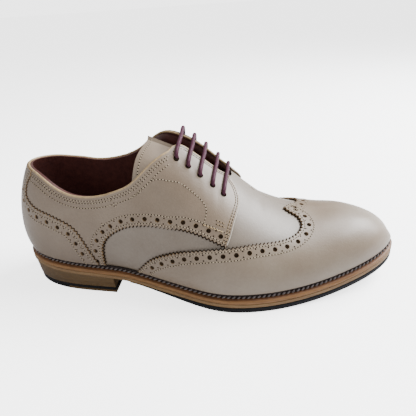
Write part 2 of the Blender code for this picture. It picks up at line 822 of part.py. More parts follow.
def make_heel():
    edge = WELT_OUT - 0.8 * MM
    breast = HEEL_LENGTH - WELT_OUT
    block_bottom = 2 * (TIP_LAYER + GAP)
    add_slab(
        "heel_block",
        ((edge - 0.7 * HEEL_TAPER, at_height(block_bottom)), (edge, above(underside, -GAP))),
        STACK_LEATHER,
        end=breast,
    )
    low = edge - HEEL_TAPER
    layer = TIP_LAYER + GAP
    add_slab(
        "heel_rubber",
        ((low, at_height(layer)), (low + 0.2 * MM, at_height(layer + TIP_LAYER))),
        RUBBER,
        end=breast,
    )
    split = TIP_SPLIT * LAST_LENGTH
    add_slab("heel_tip_rear", ((low, at_height(0.0)), (low, at_height(TIP_LAYER))), RUBBER, end=split)
    add_slab(
        "heel_tip_front",
        ((low, at_height(0.0)), (low, at_height(TIP_LAYER))),
        STACK_LEATHER,
        start=split + GAP,
        end=breast,
    )


def from_top_line(share, distance, out):
    """The point of a section that lies a distance along it from the top line, below 0 on the outer side."""
    side = -1 if distance < 0 else 1
    angle = np.linspace(math.pi / 2, 0.2, 120)
    points = section_point(np.full(120, share), np.full(120, side), angle, out)
    run = np.concatenate([[0], np.cumsum(np.linalg.norm(np.diff(points, axis=0), axis=1))])
    return np.array([np.interp(abs(distance), run, points[:, axis]) for axis in range(3)])


def tongue_row(share, spread, depth):
    """One row of the tongue across the foot, under the facings."""
    down = (TONGUE_ROOT - share) / (TONGUE_ROOT - THROAT_TOP)
    sink = TONGUE_SINK * (1 - np.exp(-5 * down))
    row = []
    for away in spread * (0.75 + 0.25 * down):
        distance = away * TONGUE_WIDTH / 2 - TONGUE_SLIDE * down**1.5
        low = sink * math.exp(-((distance / THROAT_GAP) ** 2))
        row.append(from_top_line(share, distance, depth - low))
    return np.array(row)


def make_tongue():
    """Lies under the facings and stands out above them, bending back."""
    lay = np.linspace(TONGUE_ROOT, THROAT_TOP, 9)
    stand = np.linspace(0, 1, 6)[1:]
    spread = np.linspace(-1, 1, 11)
    middle = len(spread) // 2
    sheets = []
    for depth in (-WALL - 2 * GAP, -WALL - 2 * GAP - TONGUE):
        rows = [tongue_row(share, spread, depth) for share in lay]
        way = rows[-1][middle] - rows[-2][middle]
        slope = math.atan2(way[2], -way[0])
        for part in stand:
            bent = slope - math.radians(TONGUE_BEND) * part * (1 - TONGUE_TWIST * (1 + spread) / 2)
            step = TONGUE_REACH / len(stand) * (1 - TONGUE_SLANT * spread)
            rows.append(rows[-1] + np.stack([-step * np.cos(bent), 0 * bent, step * np.sin(bent)], axis=1))
        sheets.append(np.concatenate(rows))
    faces = grid_faces(len(lay) + len(stand), len(spread))
    add_solid("tongue", *shell(sheets[0], sheets[1], faces), LEATHER)


def make_laces():
    """Straight bars from eyelet to eyelet over the slot."""
    clear = ROUND_GAP + OVERLAY + LACE / 2 + LACE_GAP
    for number, share in enumerate(EYELETS, 1):
        down = (number - 1) / (len(EYELETS) - 1)
        reach = THROAT_GAP / 2 + EYELET_INSET + EYELET_SPREAD * down
        curve = bpy.data.curves.new(f"lace_bar_{number}", "CURVE")
        curve.dimensions = "3D"
        curve.bevel_depth = LACE / 2
        curve.bevel_resolution = 2
        curve.use_fill_caps = True
        bar = curve.splines.new("POLY")
        outer = [from_top_line(share, -at, clear) for at in np.linspace(reach, THROAT_GAP / 2, 5)]
        inner = [from_top_line(share, at, clear) for at in np.linspace(THROAT_GAP / 2, reach, 5)]
        path = [*outer, (outer[-1] + inner[0]) / 2 + (0, 0, 0.3 * LACE), *inner]
        bar.points.add(len(path) - 1)
        for point, place in zip(bar.points, path):
            point.co = (*place, 1.0)
        curve.materials.append(material(curve.name, *CORD))
        bpy.context.scene.collection.objects.link(bpy.data.objects.new(curve.name, curve))


LEATHER = ((0.42, 0.37, 0.31), 0.5)
LINING = ((0.10, 0.045, 0.035), 0.5)
RAND_LEATHER = ((0.035, 0.022, 0.018), 0.45)
WELT_LEATHER = ((0.36, 0.19, 0.09), 0.5)
EDGE_LEATHER = ((0.36, 0.26, 0.18), 0.55)
STACK_LEATHER = ((0.22, 0.12, 0.06), 0.5)
RUBBER = ((0.012, 0.012, 0.015), 0.45)
CORD = ((0.12, 0.045, 0.07), 0.45)


def centre():
    """Moves the shoe so that the origin is on the floor under the middle of its box."""
    x, _, nx, _ = plan_outline()
    _, y, _, ny = plan_outline()
    edge_x, edge_y = x + nx * WELT_OUT, y + ny * WELT_OUT
    shift = Vector((-(edge_x.min() + edge_x.max()) / 2, -(edge_y.min() + edge_y.max()) / 2, 0))
    for piece in bpy.context.scene.objects:
        piece.location = shift


def main():
    for old in list(bpy.data.objects):
        bpy.data.objects.remove(old, do_unlink=True)
    make_soles()
    make_rand()
    make_heel()
    make_upper()
    make_wing_cap()
    make_counter()
    make_quarters()
    make_tongue()
    make_laces()
    centre()


main()
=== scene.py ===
"""Looks of the right-foot derby brogue: leather panels with their punched and pinked edges, stitches, lining,
laces, welt and heel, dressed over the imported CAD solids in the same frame.

The first half repeats the last's form from the CAD source, because this script can't read that file. The
second half lays each piece out on that form at full detail.
"""

import functools
import math

import bmesh
import bpy
import numpy as np
from mathutils import Matrix, Vector
from mathutils.geometry import delaunay_2d_cdt


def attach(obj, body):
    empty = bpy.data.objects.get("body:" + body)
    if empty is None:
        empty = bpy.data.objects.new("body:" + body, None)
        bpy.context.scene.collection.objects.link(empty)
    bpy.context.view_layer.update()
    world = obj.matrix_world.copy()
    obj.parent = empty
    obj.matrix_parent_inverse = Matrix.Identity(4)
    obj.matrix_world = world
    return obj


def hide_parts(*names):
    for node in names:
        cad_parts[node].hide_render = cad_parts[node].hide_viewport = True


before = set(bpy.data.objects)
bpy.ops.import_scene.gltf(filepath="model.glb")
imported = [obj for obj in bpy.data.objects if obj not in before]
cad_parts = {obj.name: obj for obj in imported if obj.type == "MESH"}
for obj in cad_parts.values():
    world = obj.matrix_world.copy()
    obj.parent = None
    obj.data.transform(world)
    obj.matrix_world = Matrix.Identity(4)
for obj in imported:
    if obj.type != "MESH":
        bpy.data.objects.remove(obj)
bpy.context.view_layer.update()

MM = 0.001
WELD = 1e-6                     # points closer than this are one
TINY = 1e-12

# Sizes of the last
LAST_LENGTH = 294.5 * MM        # heel to toe along the upper's bottom edge
BALL_WIDTH = 98 * MM            # nominal width across that edge at the ball
INSTEP_HEIGHT = 100 * MM        # top line above the bottom edge, where the cone is highest
COLLAR_HEIGHT = 78 * MM         # collar above the bottom edge, at the heel
SIDE_BULGE = 2.4 * MM           # how far the wall swells past its bottom edge, at BULGE_AT above it
BULGE_AT = 12 * MM
HEEL_BULGE = 4.0 * MM           # the same at the back of the heel
HEEL_BULGE_AT = 25 * MM
ARCH_BULGE = 6.0 * MM           # how far the inner side swells over the arch, and the outer side beside it
OUTER_WAIST_BULGE = 1.5 * MM
ARCH_BULGE_AT = 26 * MM
BACK_LEAN = 17 * MM             # how far the heel's back leans forward at collar height, and how late
BACK_CURVE = 2.8
THROAT_GAP = 22 * MM            # between the two lace facings
TOE_ASIDE = 3 * MM              # the toe's tip, towards the inner side of the foot

# Sizes of the sole
HEEL_HEIGHT = 16 * MM           # floor to midsole at the heel's front
HEEL_RISE = 4.5 * MM            # how much higher the midsole lies at the heel's back
HEEL_LENGTH = 82 * MM
HEEL_TAPER = 1.5 * MM           # how far the block runs in towards the floor
TIP_LAYER = 2.5 * MM            # each of the two lowest layers of the heel
TOE_SPRING = 15 * MM
TREAD = 4.2 * MM                # rubber under the forefoot
MIDSOLE = 3.2 * MM
WELT = 3.0 * MM
WELT_OUT = 5.2 * MM             # sole edge outside the upper's bottom edge
RAND_HEIGHT = 4.0 * MM
RAND_THICK = 1.9 * MM

# Sizes of the leather
GAP = 0.3 * MM                  # between pieces that meet
ROUND_GAP = 0.55 * MM           # between overlay and upper, so that their facets stay clear
WALL = 1.8 * MM                 # upper with its lining
OVERLAY = 1.1 * MM              # wing cap and quarters
INSOLE = 3.0 * MM
TONGUE = 1.8 * MM
TONGUE_WIDTH = 54 * MM
TONGUE_REACH = 26 * MM          # how far the tongue stands out past the facings' top
TONGUE_BEND = 38                # degrees by which its outer edge bends back there
TONGUE_TWIST = 1.0              # how much less its inner edge bends, as a share of that
TONGUE_SLIDE = 24 * MM          # how far its top has slid to the outer side
TONGUE_SLANT = 0.1              # how much further its outer edge stands out than its middle
TONGUE_SINK = 11 * MM           # how far it lies below the facings in the middle
LACE = 3.0 * MM
EYELET_INSET = 14 * MM          # top eyelet back from the facing's edge
EYELET_SPREAD = 5.5 * MM        # how much further back the lowest one lies

# Where things lie, as shares of LAST_LENGTH from the heel
FLAT = (0.585, 0.675)           # where the tread touches the floor
THROAT_END = 0.585              # front end of the slot between the facings
ARCH_AT, ARCH_SPAN = 0.43, 0.14
THROAT_TOP = 0.435              # where the collar turns into the facings
TONGUE_ROOT = 0.63              # front end of the tongue, under the vamp
TIP_SPLIT = 0.115               # where rubber gives way to leather in the heel's lowest layer
EYELETS = (0.455, 0.483, 0.511, 0.541, 0.567)

# Plan of the upper's bottom edge: share of LAST_LENGTH from the heel, then shares of BALL_WIDTH to each side
# of the line from heel centre to toe
OUTLINE = (
    # along, lateral, medial
    (0.022, 0.138, 0.138),
    (0.070, 0.236, 0.234),
    (0.145, 0.297, 0.285),
    (0.245, 0.329, 0.302),
    (0.350, 0.370, 0.290),
    (0.450, 0.443, 0.300),
    (0.545, 0.511, 0.362),
    (0.620, 0.518, 0.424),
    (0.700, 0.476, 0.476),
    (0.785, 0.402, 0.483),
    (0.865, 0.306, 0.424),
    (0.935, 0.196, 0.308),
    (0.980, 0.085, 0.175),
)

# Top line of the last: height as a share of INSTEP_HEIGHT above the bottom edge, how far it lies to the
# inner side as a share of BALL_WIDTH, the section's roundness (2 is an ellipse, more is boxier), and how much
# fuller the inner side's shoulder is, as a share of INSTEP_HEIGHT
RIDGE = (
    # along, height, aside, roundness, shoulder
    (0.00, 1.10, 0.00, 2.7, 0.00),
    (0.15, 1.16, 0.01, 2.6, 0.00),
    (0.30, 1.17, 0.04, 2.2, 0.01),
    (0.40, 1.11, 0.07, 1.95, 0.075),
    (0.48, 0.98, 0.08, 1.85, 0.105),
    (0.55, 0.825, 0.08, 1.85, 0.06),
    (0.63, 0.630, 0.08, 1.95, 0.00),
    (0.71, 0.475, 0.085, 2.15, 0.00),
    (0.80, 0.388, 0.075, 2.30, 0.00),
    (0.88, 0.347, 0.055, 2.38, 0.00),
    (1.00, 0.302, 0.03, 2.42, 0.00),
)
TOE_ROLL = (0.84, 2.2)          # where the top line starts to roll down at the toe, and how squarely

# Collar line on the outer and the inner side: height above the bottom edge, as a share of COLLAR_HEIGHT
COLLAR = (
    # along, outer, inner
    (0.000, 0.97, 0.97),
    (0.045, 0.955, 0.95),
    (0.085, 0.91, 0.925),
    (0.125, 0.845, 0.91),
    (0.170, 0.795, 0.89),
    (0.215, 0.785, 0.90),
    (0.260, 0.81, 0.935),
    (0.310, 0.88, 1.01),
    (0.350, 0.975, 1.10),
    (0.390, 1.13, 1.20),
    (0.430, 1.24, 1.28),
    (0.480, 1.30, 1.32),
)

# Underside of the sole from the heel's front to the flat: height as a share of HEEL_HEIGHT, and how much of
# TREAD lies there
WAIST = (
    # along, height, tread
    (0.26, 1.00, 0.00),
    (0.31, 0.88, 0.02),
    (0.37, 0.63, 0.20),
    (0.43, 0.37, 0.55),
    (0.49, 0.16, 0.85),
    (0.54, 0.04, 0.98),
)
SPRING_CURVE = 1.75

# Edges of the overlays: share of LAST_LENGTH, then level, the share of a quarter turn round the section from
# just above the rand (0) to the top line (1)
WING_EDGE = (
    # along, level
    (0.338, 0.00),
    (0.357, 0.042),
    (0.381, 0.093),
    (0.411, 0.139),
    (0.437, 0.174),
    (0.475, 0.216),
    (0.541, 0.290),
    (0.607, 0.367),
    (0.653, 0.432),
    (0.689, 0.479),
    (0.715, 0.521),
    (0.741, 0.587),
    (0.756, 0.660),
    (0.761, 0.722),
    (0.759, 0.788),
    (0.751, 0.842),
    (0.733, 0.880),
    (0.719, 0.920),
)
COUNTER_EDGE = (
    # along, level
    (0.046, 0.46),
    (0.035, 0.36),
    (0.028, 0.30),
    (0.030, 0.255),
    (0.041, 0.22),
    (0.057, 0.20),
    (0.080, 0.183),
    (0.105, 0.172),
    (0.135, 0.157),
    (0.160, 0.143),
    (0.178, 0.124),
    (0.192, 0.095),
    (0.203, 0.065),
    (0.213, 0.038),
    (0.230, 0.00),
)
SWAN_EDGE = (
    # along, level
    (0.249, 0.00),
    (0.250, 0.04),
    (0.252, 0.07),
    (0.259, 0.10),
    (0.270, 0.126),
    (0.285, 0.151),
    (0.303, 0.178),
    (0.323, 0.205),
    (0.349, 0.232),
    (0.390, 0.268),
    (0.427, 0.293),
    (0.477, 0.324),
    (0.523, 0.338),
    (0.573, 0.330),
)
FRONT_EDGE = (
    # along, level
    (0.573, 0.330),
    (0.581, 0.39),
    (0.591, 0.502),
    (0.601, 0.618),
    (0.605, 0.695),
    (0.601, 0.768),
    (0.592, 0.825),
    (0.576, 0.87),
)

# How finely the forms are divided
STATIONS = 120
LEVELS = 44
LOW_LEVELS = 1.15
SLOT_STEPS = (0.0, 1.2 * MM, 4 * MM, 9 * MM)     # sections behind the slot's front end
SOLE_STATIONS = 120
OUTLINE_POINTS = 1800
ROUND_STEP = 2.2 * MM


def spline(knots, values, at):
    """A natural cubic spline through the rows of a table."""
    knots = np.asarray(knots, float)
    values = np.asarray(values, float)
    width = np.diff(knots)
    slope = np.diff(values) / width
    count = len(knots)
    system = np.eye(count)
    right = np.zeros(count)
    for i in range(1, count - 1):
        system[i, i - 1 : i + 2] = width[i - 1], 2 * (width[i - 1] + width[i]), width[i]
        right[i] = 6 * (slope[i] - slope[i - 1])
    bend = np.linalg.solve(system, right)
    at = np.clip(at, knots[0], knots[-1])
    i = np.clip(np.searchsorted(knots, at) - 1, 0, count - 2)
    wide = width[i]
    before = knots[i + 1] - at
    after = at - knots[i]
    curved = (bend[i] * before**3 + bend[i + 1] * after**3) / (6 * wide)
    from_left = (values[i] / wide - bend[i] * wide / 6) * before
    from_right = (values[i + 1] / wide - bend[i + 1] * wide / 6) * after
    return curved + from_left + from_right


def column(table, index, at):
    rows = np.array(table)
    return spline(rows[:, 0], rows[:, index], at)


def lengths(points):
    """How far each point lies along the line through them."""
    return np.concatenate([[0], np.cumsum(np.linalg.norm(np.diff(points, axis=0), axis=1))])


def smooth(points, at):
    """Places on the smooth curve through points, at distances along them."""
    run = lengths(points)
    return np.stack([spline(run, values, at) for values in points.T], axis=1)


def places_at(at, run, points):
    """Places on the straight line through points, at distances where theirs are `run`."""
    return np.stack([np.interp(at, run, values) for values in points.T], axis=-1)


def unit(vectors):
    return vectors / np.maximum(np.linalg.norm(vectors, axis=-1, keepdims=True), TINY)


def share_at(turn):
    """The share of the length at a turn, which is crowded at both ends."""
    return (1 - np.cos(math.pi * np.asarray(turn, float))) / 2


@functools.lru_cache(maxsize=None)
def plan_outline():
    """The bottom edge seen from above, as dense points with their outward normals, from the heel round the
    outer side to the toe and back along the inner side."""
    lateral = [(along * LAST_LENGTH, -out * BALL_WIDTH) for along, out, _ in OUTLINE]
    medial = [(along * LAST_LENGTH, out * BALL_WIDTH) for along, _, out in OUTLINE]
    points = np.array([(0, 0), *lateral, (LAST_LENGTH, TOE_ASIDE), *reversed(medial)])
    overlap = 5
    wrapped = np.concatenate([points[-overlap:], points, points[: overlap + 1]])
    chord = lengths(wrapped)
    start, end = chord[overlap], chord[overlap + len(points)]
    at = start + (end - start) * np.arange(-1, OUTLINE_POINTS + 2) / OUTLINE_POINTS
    x, y = smooth(wrapped, at).T
    along, across = x[2:] - x[:-2], y[2:] - y[:-2]
    size = np.hypot(along, across)
    ring = np.array([x[1:-1], y[1:-1], across / size, -along / size])
    ring[:, -1] = ring[:, 0]
    return ring


@functools.lru_cache(maxsize=None)
def edge_sides(out):
    """The bottom edge moved outwards by `out`: per side, x from heel to toe with y and the normal there."""
    x, y, nx, ny = plan_outline()
    x, y = x + nx * out, y + ny * out
    toe = int(np.argmax(x))
    outer = slice(0, toe + 1)
    inner = slice(None, toe - 1 if toe else None, -1)
    return {-1: (x[outer], y[outer], nx[outer], ny[outer]), 1: (x[inner], y[inner], nx[inner], ny[inner])}


def edge_point(share, side, out):
    """(x, y, normal x, normal y) at a share of the moved edge's own length."""
    found = np.zeros((4, *np.shape(share)))
    for which, (x, y, nx, ny) in edge_sides(out).items():
        here = side == which
        at = x[0] + share * (x[-1] - x[0])
        for row, values in enumerate((x, y, nx, ny)):
            found[row][here] = np.interp(at[here], x, values)
        found[0][here] = at[here]
    return found


def underside(x):
    """Height of the tread's underside above the floor, as if it went on behind the heel's front."""
    share = x / LAST_LENGTH
    waist = np.array([*WAIST, (FLAT[0], 0.0, 1.0), (FLAT[0] + 0.02, 0.0, 1.0)])
    height = HEEL_HEIGHT * spline(waist[:, 0], waist[:, 1], np.clip(share, WAIST[0][0], FLAT[0]))
    behind = np.clip((WAIST[0][0] - share) / WAIST[0][0], 0, None)
    toe = np.clip((share - FLAT[1]) / (1 - FLAT[1]), 0, None)
    flat = np.where(share >= FLAT[0], 0.0, np.maximum(height, 0.0))
    return flat + HEEL_RISE * behind**1.1 + TOE_SPRING * toe**SPRING_CURVE


def tread(x):
    """Thickness of the rubber at x."""
    return TREAD * np.clip(column(WAIST, 2, x / LAST_LENGTH), 0, 1)


def midsole_bottom(x):
    return underside(x) + tread(x) + np.where(x < HEEL_LENGTH, 0, GAP)


def midsole_top(x):
    return midsole_bottom(x) + MIDSOLE


def welt_bottom(x):
    return midsole_top(x) + GAP


def welt_top(x):
    return welt_bottom(x) + WELT


def bed(x):
    """Height of the upper's bottom edge."""
    return welt_top(x) + GAP


def toe_roll(share):
    start, square = TOE_ROLL
    past = np.clip((share - start) / (1 - start), 0, 1)
    return (1 - past**square) ** (1 / square)


def steepness(share):
    """How much longer a vertical step is than the same step square to the top line."""
    step = 0.01
    run = 2 * step * LAST_LENGTH
    rise = INSTEP_HEIGHT * (column(RIDGE, 1, share + step) - column(RIDGE, 1, share - step))
    return np.sqrt(1 + (rise / run) ** 2)


def ridge_height(share, out, lift):
    """Top line above the level `lift`, on the last grown by `out`."""
    height = (INSTEP_HEIGHT * column(RIDGE, 1, share) + out * steepness(share)) * toe_roll(share)
    if not lift:
        return height
    return height - lift * (1 - np.exp(-height / lift))


def half_slot(share):
    """Half of the gap between the facings, closing in a round end."""
    left = np.clip((THROAT_END - share) * LAST_LENGTH / (THROAT_GAP / 2), 0, 1)
    return THROAT_GAP / 2 * np.sqrt(left * (2 - left))


def top_angle(share, side, half, height, power, lift):
    """Where a section ends: at the collar, at the facings' edge or, past the slot, at the top line."""
    rise = np.where(side < 0, column(COLLAR, 1, share), column(COLLAR, 2, share))
    level = (COLLAR_HEIGHT * rise - lift) / np.maximum(height, MM)
    collar = np.arcsin(np.clip(level, 0, 1) ** (1 / power))
    slot = np.clip(half_slot(share) / np.maximum(half, MM), 0, 1)
    in_slot = (share > THROAT_TOP - 0.08) & (share < THROAT_END)
    facing = np.where(in_slot, np.arccos(slot ** (1 / power)), math.pi / 2)
    sharp = 14
    blend = -np.log(np.exp(-sharp * collar) + np.exp(-sharp * facing)) / sharp
    fade = np.clip((share - THROAT_TOP) / (0.25 * (THROAT_END - THROAT_TOP)), 0, 1)
    return blend + (facing - blend) * fade


def section_sizes(share, side, out, lift):
    """(x, y, normal x, normal y, middle, half width, height, power) of the section at a share."""
    x, y, nx, ny = edge_point(share, side, out)
    middle = BALL_WIDTH * column(RIDGE, 2, share)
    heel, *_, tip = edge_sides(out)[1][1]
    near_end = 0.1
    middle = middle + (heel - middle) * np.clip(1 - share / near_end, 0, 1)
    middle = middle + (tip - middle) * np.clip(1 - (1 - share) / near_end, 0, 1)
    power = 2 / column(RIDGE, 3, share)
    return x, y, nx, ny, middle, np.abs(y - middle), ridge_height(share, out, lift), power


def swell(share, side, up):
    """How far the wall stands out past the bottom edge, at a height above it."""
    back = np.clip(1 - share / 0.22, 0, 1) ** 1.5
    arch = np.exp(-(((share - ARCH_AT) / ARCH_SPAN) ** 2)) * np.clip(share / ARCH_SPAN, 0, 1)
    size = SIDE_BULGE + (HEEL_BULGE - SIDE_BULGE) * back
    at = up / (BULGE_AT + (HEEL_BULGE_AT - BULGE_AT) * back)
    over_arch = up / ARCH_BULGE_AT
    extra = np.where(side > 0, ARCH_BULGE, OUTER_WAIST_BULGE) * arch * over_arch * np.exp(1 - over_arch)
    return size * at * np.exp(1 - at) + extra


def shoulder(share, angle):
    """How much higher the inner side is than the plain section, most at two thirds of the way up."""
    way = np.clip(angle / (math.pi / 2), 0, 1)
    most = (2 / 3) ** 4 * (1 / 3) ** 2
    return INSTEP_HEIGHT * column(RIDGE, 4, share) * way**4 * (1 - way) ** 2 / most


def section_point(share, side, angle, out=0.0, lift=0.0):
    """A point of the form at an angle of its section: 0 at the bottom edge, a quarter turn at the top."""
    x, _, nx, ny, middle, half, height, power = section_sizes(share, side, out, lift)
    up = lift + height * np.abs(np.sin(angle)) ** power + np.where(side > 0, shoulder(share, angle), 0)
    level = np.abs(np.cos(angle))
    bulge = swell(share, side, up) * level
    lean = BACK_LEAN * np.clip(1 - share / 0.35, 0, 1) * (up / COLLAR_HEIGHT) ** BACK_CURVE
    across = middle + side * half * level**power
    return np.stack([x + nx * bulge + lean, across + ny * bulge, bed(x) + up], axis=-1)


def limit(share, side, out=0.0, lift=0.0):
    *_, half, height, power = section_sizes(share, side, out, lift)
    return top_angle(share, side, half, height, power, lift)


def form(turn, side, level, out=0.0, lift=0.0):
    """Points on the last grown by `out`.

    turn runs 0 to 1 from heel to toe, crowded at both ends. side is -1 on the outer side of the foot and 1 on
    the inner. level runs 0 to 1 from the bottom edge, or from `lift` above it, to the top line.
    """
    turn, side, level = np.broadcast_arrays(np.asarray(turn, float), side, np.asarray(level, float))
    share = share_at(turn)
    fit = limit(share, side, out, lift) / limit(share, side)
    return section_point(share, side, np.clip(level, 0, 1) * math.pi / 2 * fit, out, lift)


def turn_at(share):
    return np.arccos(np.clip(1 - 2 * np.asarray(share, float), -1, 1)) / math.pi


def stations():
    """Sections of the upper, with more of them where the slot and the collar turn."""
    slot = THROAT_END - np.array(SLOT_STEPS) / LAST_LENGTH
    return np.array(sorted({*np.linspace(0, 1, STATIONS + 1), *turn_at(slot)}))


def joined(points):
    """Which points are the same: the first of each, and the new place of every one."""
    near = np.round(points / WELD).astype(np.int64)
    _, first, index = np.unique(near, axis=0, return_index=True, return_inverse=True)
    return first, index.reshape(-1)


def left_over(faces, index):
    """The faces that still have three corners once their points are joined."""
    rings = []
    for face in faces:
        ring = [int(index[corner]) for corner in face]
        ring = [corner for k, corner in enumerate(ring) if corner != ring[k - 1]]
        if len(set(ring)) > 2:
            rings.append(ring)
    return rings


def shell(outer, inner, faces):
    """Points and faces of the solid between two matching sheets; points that meet on the outer are joined."""
    first, index = joined(outer)
    kept = left_over(faces, index)
    uses = {}
    for ring in kept:
        for a, b in zip(ring, ring[1:] + ring[:1]):
            uses.setdefault((min(a, b), max(a, b)), []).append((a, b))
    count = len(first)
    rim = [(b, a, a + count, b + count) for (a, b), *more in uses.values() if not more]
    back = [[corner + count for corner in reversed(ring)] for ring in kept]
    return np.concatenate([outer[first], inner[first]]), kept + back + rim


def grid_faces(rows, columns, start=0):
    """Faces of a grid of points, which are counted row by row from `start`."""
    corners = [start + i * columns + j for i in range(rows - 1) for j in range(columns - 1)]
    return [(a, a + columns, a + columns + 1, a + 1) for a in corners]


def top_level(turn, side):
    """The level at which the upper ends."""
    share = share_at(turn)
    return limit(share, np.broadcast_to(side, share.shape)) / (math.pi / 2)


def upper_grid():
    """Stations of the upper against its levels, as shares of the top level."""
    return np.meshgrid(stations(), np.linspace(0, 1, LEVELS + 1) ** LOW_LEVELS, indexing="ij")


# The overlays are laid out flat before they are put on the form. These turn the form's own two coordinates
# into lengths, so that an outline keeps its proportions on the flat.
TURN_LENGTH = LAST_LENGTH * math.pi / 2
RISE_LENGTH = 110 * MM


def flat_rows(table):
    """A table's rows laid flat."""
    rows = np.array(table)
    return np.stack([turn_at(rows[:, 0]) * TURN_LENGTH, rows[:, 1] * RISE_LENGTH], axis=1)


def flat_curve(table):
    """A smooth curve through a table's rows, with points ROUND_STEP apart."""
    rows = flat_rows(table)
    end = lengths(rows)[-1]
    return smooth(rows, np.linspace(0, end, max(2, round(end / ROUND_STEP)) + 1))


def stations_between(start, end):
    """The upper's own stations between two flat places, in order from start to end."""
    turns = stations() * TURN_LENGTH
    low, high = sorted((start, end))
    found = turns[(turns > low + MM) & (turns < high - MM)]
    return found if start < end else found[::-1]


def inside(points, outline):
    x, y = points[:, 0], points[:, 1]
    result = np.zeros(len(points), bool)
    for (x1, y1), (x2, y2) in zip(outline, np.roll(outline, -1, axis=0)):
        crosses = (y1 > y) != (y2 > y)
        with np.errstate(divide="ignore", invalid="ignore"):
            result ^= crosses & (x < (x2 - x1) * (y - y1) / (y2 - y1) + x1)
    return result


def clear_of(points, outline, least):
    """Which points are at least `least` from an outline."""
    near = np.full(len(points), np.inf)
    for start, end in zip(outline, np.roll(outline, -1, axis=0)):
        way = end - start
        part = np.clip((points - start) @ way / max(way @ way, WELD**2), 0, 1)
        near = np.minimum(near, np.linalg.norm(points - start - part[:, None] * way, axis=1))
    return near > least


def opposite(curve):
    """A flat curve from the outer side's bottom edge, carried over to the inner side from where it ends."""
    other = curve[::-1].copy()
    peak = other[0, 1]
    other[:, 1] = 2 * RISE_LENGTH - other[:, 1] - 2 * (RISE_LENGTH - peak) * (other[:, 1] / peak) ** 5
    return other


def top_edge(start, end, side):
    """The upper's top edge between two flat places, both included."""
    places = np.array([start, *stations_between(start, end), end])
    return np.stack([places, RISE_LENGTH * top_level(places / TURN_LENGTH, side)], axis=1)


def below_top(curve, side):
    """The part of a flat curve that lies clear below the upper's top edge."""
    top = RISE_LENGTH * top_level(curve[:, 0] / TURN_LENGTH, side)
    return curve[curve[:, 1] < top - ROUND_STEP / 4]


def edge_rows(out, start=None, end=None):
    """(x, outer y, inner y) of the moved edge, at stations crowded at its round ends."""
    x_outer, y_outer, *_ = edge_sides(out)[-1]
    x_inner, y_inner, *_ = edge_sides(out)[1]
    low, high = x_outer[0], x_outer[-1]
    if start is None and end is None:
        x = low + (high - low) * (1 - np.cos(np.linspace(0, math.pi, SOLE_STATIONS + 1))) / 2
    elif start is None:
        x = low + (end - low) * (1 - np.cos(np.linspace(0, math.pi / 2, SOLE_STATIONS // 2)))
    elif end is None:
        x = high - (high - start) * (1 - np.cos(np.linspace(math.pi / 2, 0, SOLE_STATIONS * 3 // 4)))
    else:
        x = np.linspace(start, end, SOLE_STATIONS // 3)
    return x, np.interp(x, x_outer, y_outer), np.interp(x, x_inner, y_inner)


def ring_faces(size, count):
    """Faces round a closed band of `size` rings of `count` points each."""
    pairs = [(level * count, (level + 1) % size * count) for level in range(size)]
    return [(a + i, a + (i + 1) % count, b + (i + 1) % count, b + i) for a, b in pairs for i in range(count)]


def above(line, height):
    return lambda x: line(x) + height


def at_height(height):
    return lambda x: np.full(np.shape(x), height)


def from_top_line(share, distance, out):
    """The point of a section that lies a distance along it from the top line, below 0 on the outer side."""
    side = -1 if distance < 0 else 1
    angle = np.linspace(math.pi / 2, 0.2, 120)
    points = section_point(np.full_like(angle, share), np.full_like(angle, side), angle, out)
    return places_at(abs(distance), lengths(points), points)


def tongue_row(share, spread, depth):
    """One row of the tongue across the foot, under the facings."""
    down = (TONGUE_ROOT - share) / (TONGUE_ROOT - THROAT_TOP)
    sink = TONGUE_SINK * (1 - np.exp(-5 * down))
    row = []
    for away in spread * (0.75 + 0.25 * down):
        distance = away * TONGUE_WIDTH / 2 - TONGUE_SLIDE * down**1.5
        low = sink * math.exp(-((distance / THROAT_GAP) ** 2))
        row.append(from_top_line(share, distance, depth - low))
    return np.array(row)


# Sizes of the trimmings
PINK_PITCH = 3.0 * MM           # teeth of the pinked edges
PINK_DEPTH = 1.5 * MM
PUNCH = 1.75 * MM               # radius of a big hole
PIN = 0.6 * MM                  # radius of a small hole
PUNCH_PITCH = 9.6 * MM
PIN_ASIDE = 2.1 * MM
EYELET = 2.3 * MM
STITCH_PITCH = 2.3 * MM
STITCH_SIZE = (1.5 * MM, 0.28 * MM)                # length and radius
NEEDLE_HOLE = (0.56 * MM, 0.46 * MM, MM)           # half sizes along, across and, of no use, up
THREAD_SIDES = 7
PUNCH_SIDES, PIN_SIDES, BACK_SIDES = 18, 9, 12     # of the holes' rims, and of what lies behind them
EDGE_MARGIN = 0.9 * MM          # between an overlay's edge and what is cut in it
HOLE_MARGIN = 0.5 * MM          # between a hole and the points round it
FLAT_STEP = 0.4 * MM            # for slopes on the flat
BINDING = 0.9 * MM              # radius of the collar's rolled edge, then of the pale cord of painted highlight down a facing
FRONT_CORD = 0.42 * MM
LACE_STEPS, LACE_SIDES = 90, 18
BINDING_STEPS, BINDING_SIDES, FRONT_SIDES = 220, 10, 8
LIFT = RAND_HEIGHT + 2 * GAP
TOP = ROUND_GAP + OVERLAY       # outer face of the quarters and the wing cap
COUNTER_TOP = TOP + 0.75 * MM   # outer face of the heel counter
COUNTER_GAP = 0.05 * MM         # between it and the quarters under it

# The photograph's camera: degrees round the shoe, above it and rolled, then metres and the lens in mm
CAMERA_TURN, CAMERA_RISE, CAMERA_ROLL = 7.4, 28.2, -4.0
CAMERA_DISTANCE = 0.311
CAMERA_LENS, CAMERA_SENSOR = 33.3, 36
CAMERA_NEAR = 0.01
CAMERA_TARGET = (0.00504, 0.00164, 0.059)


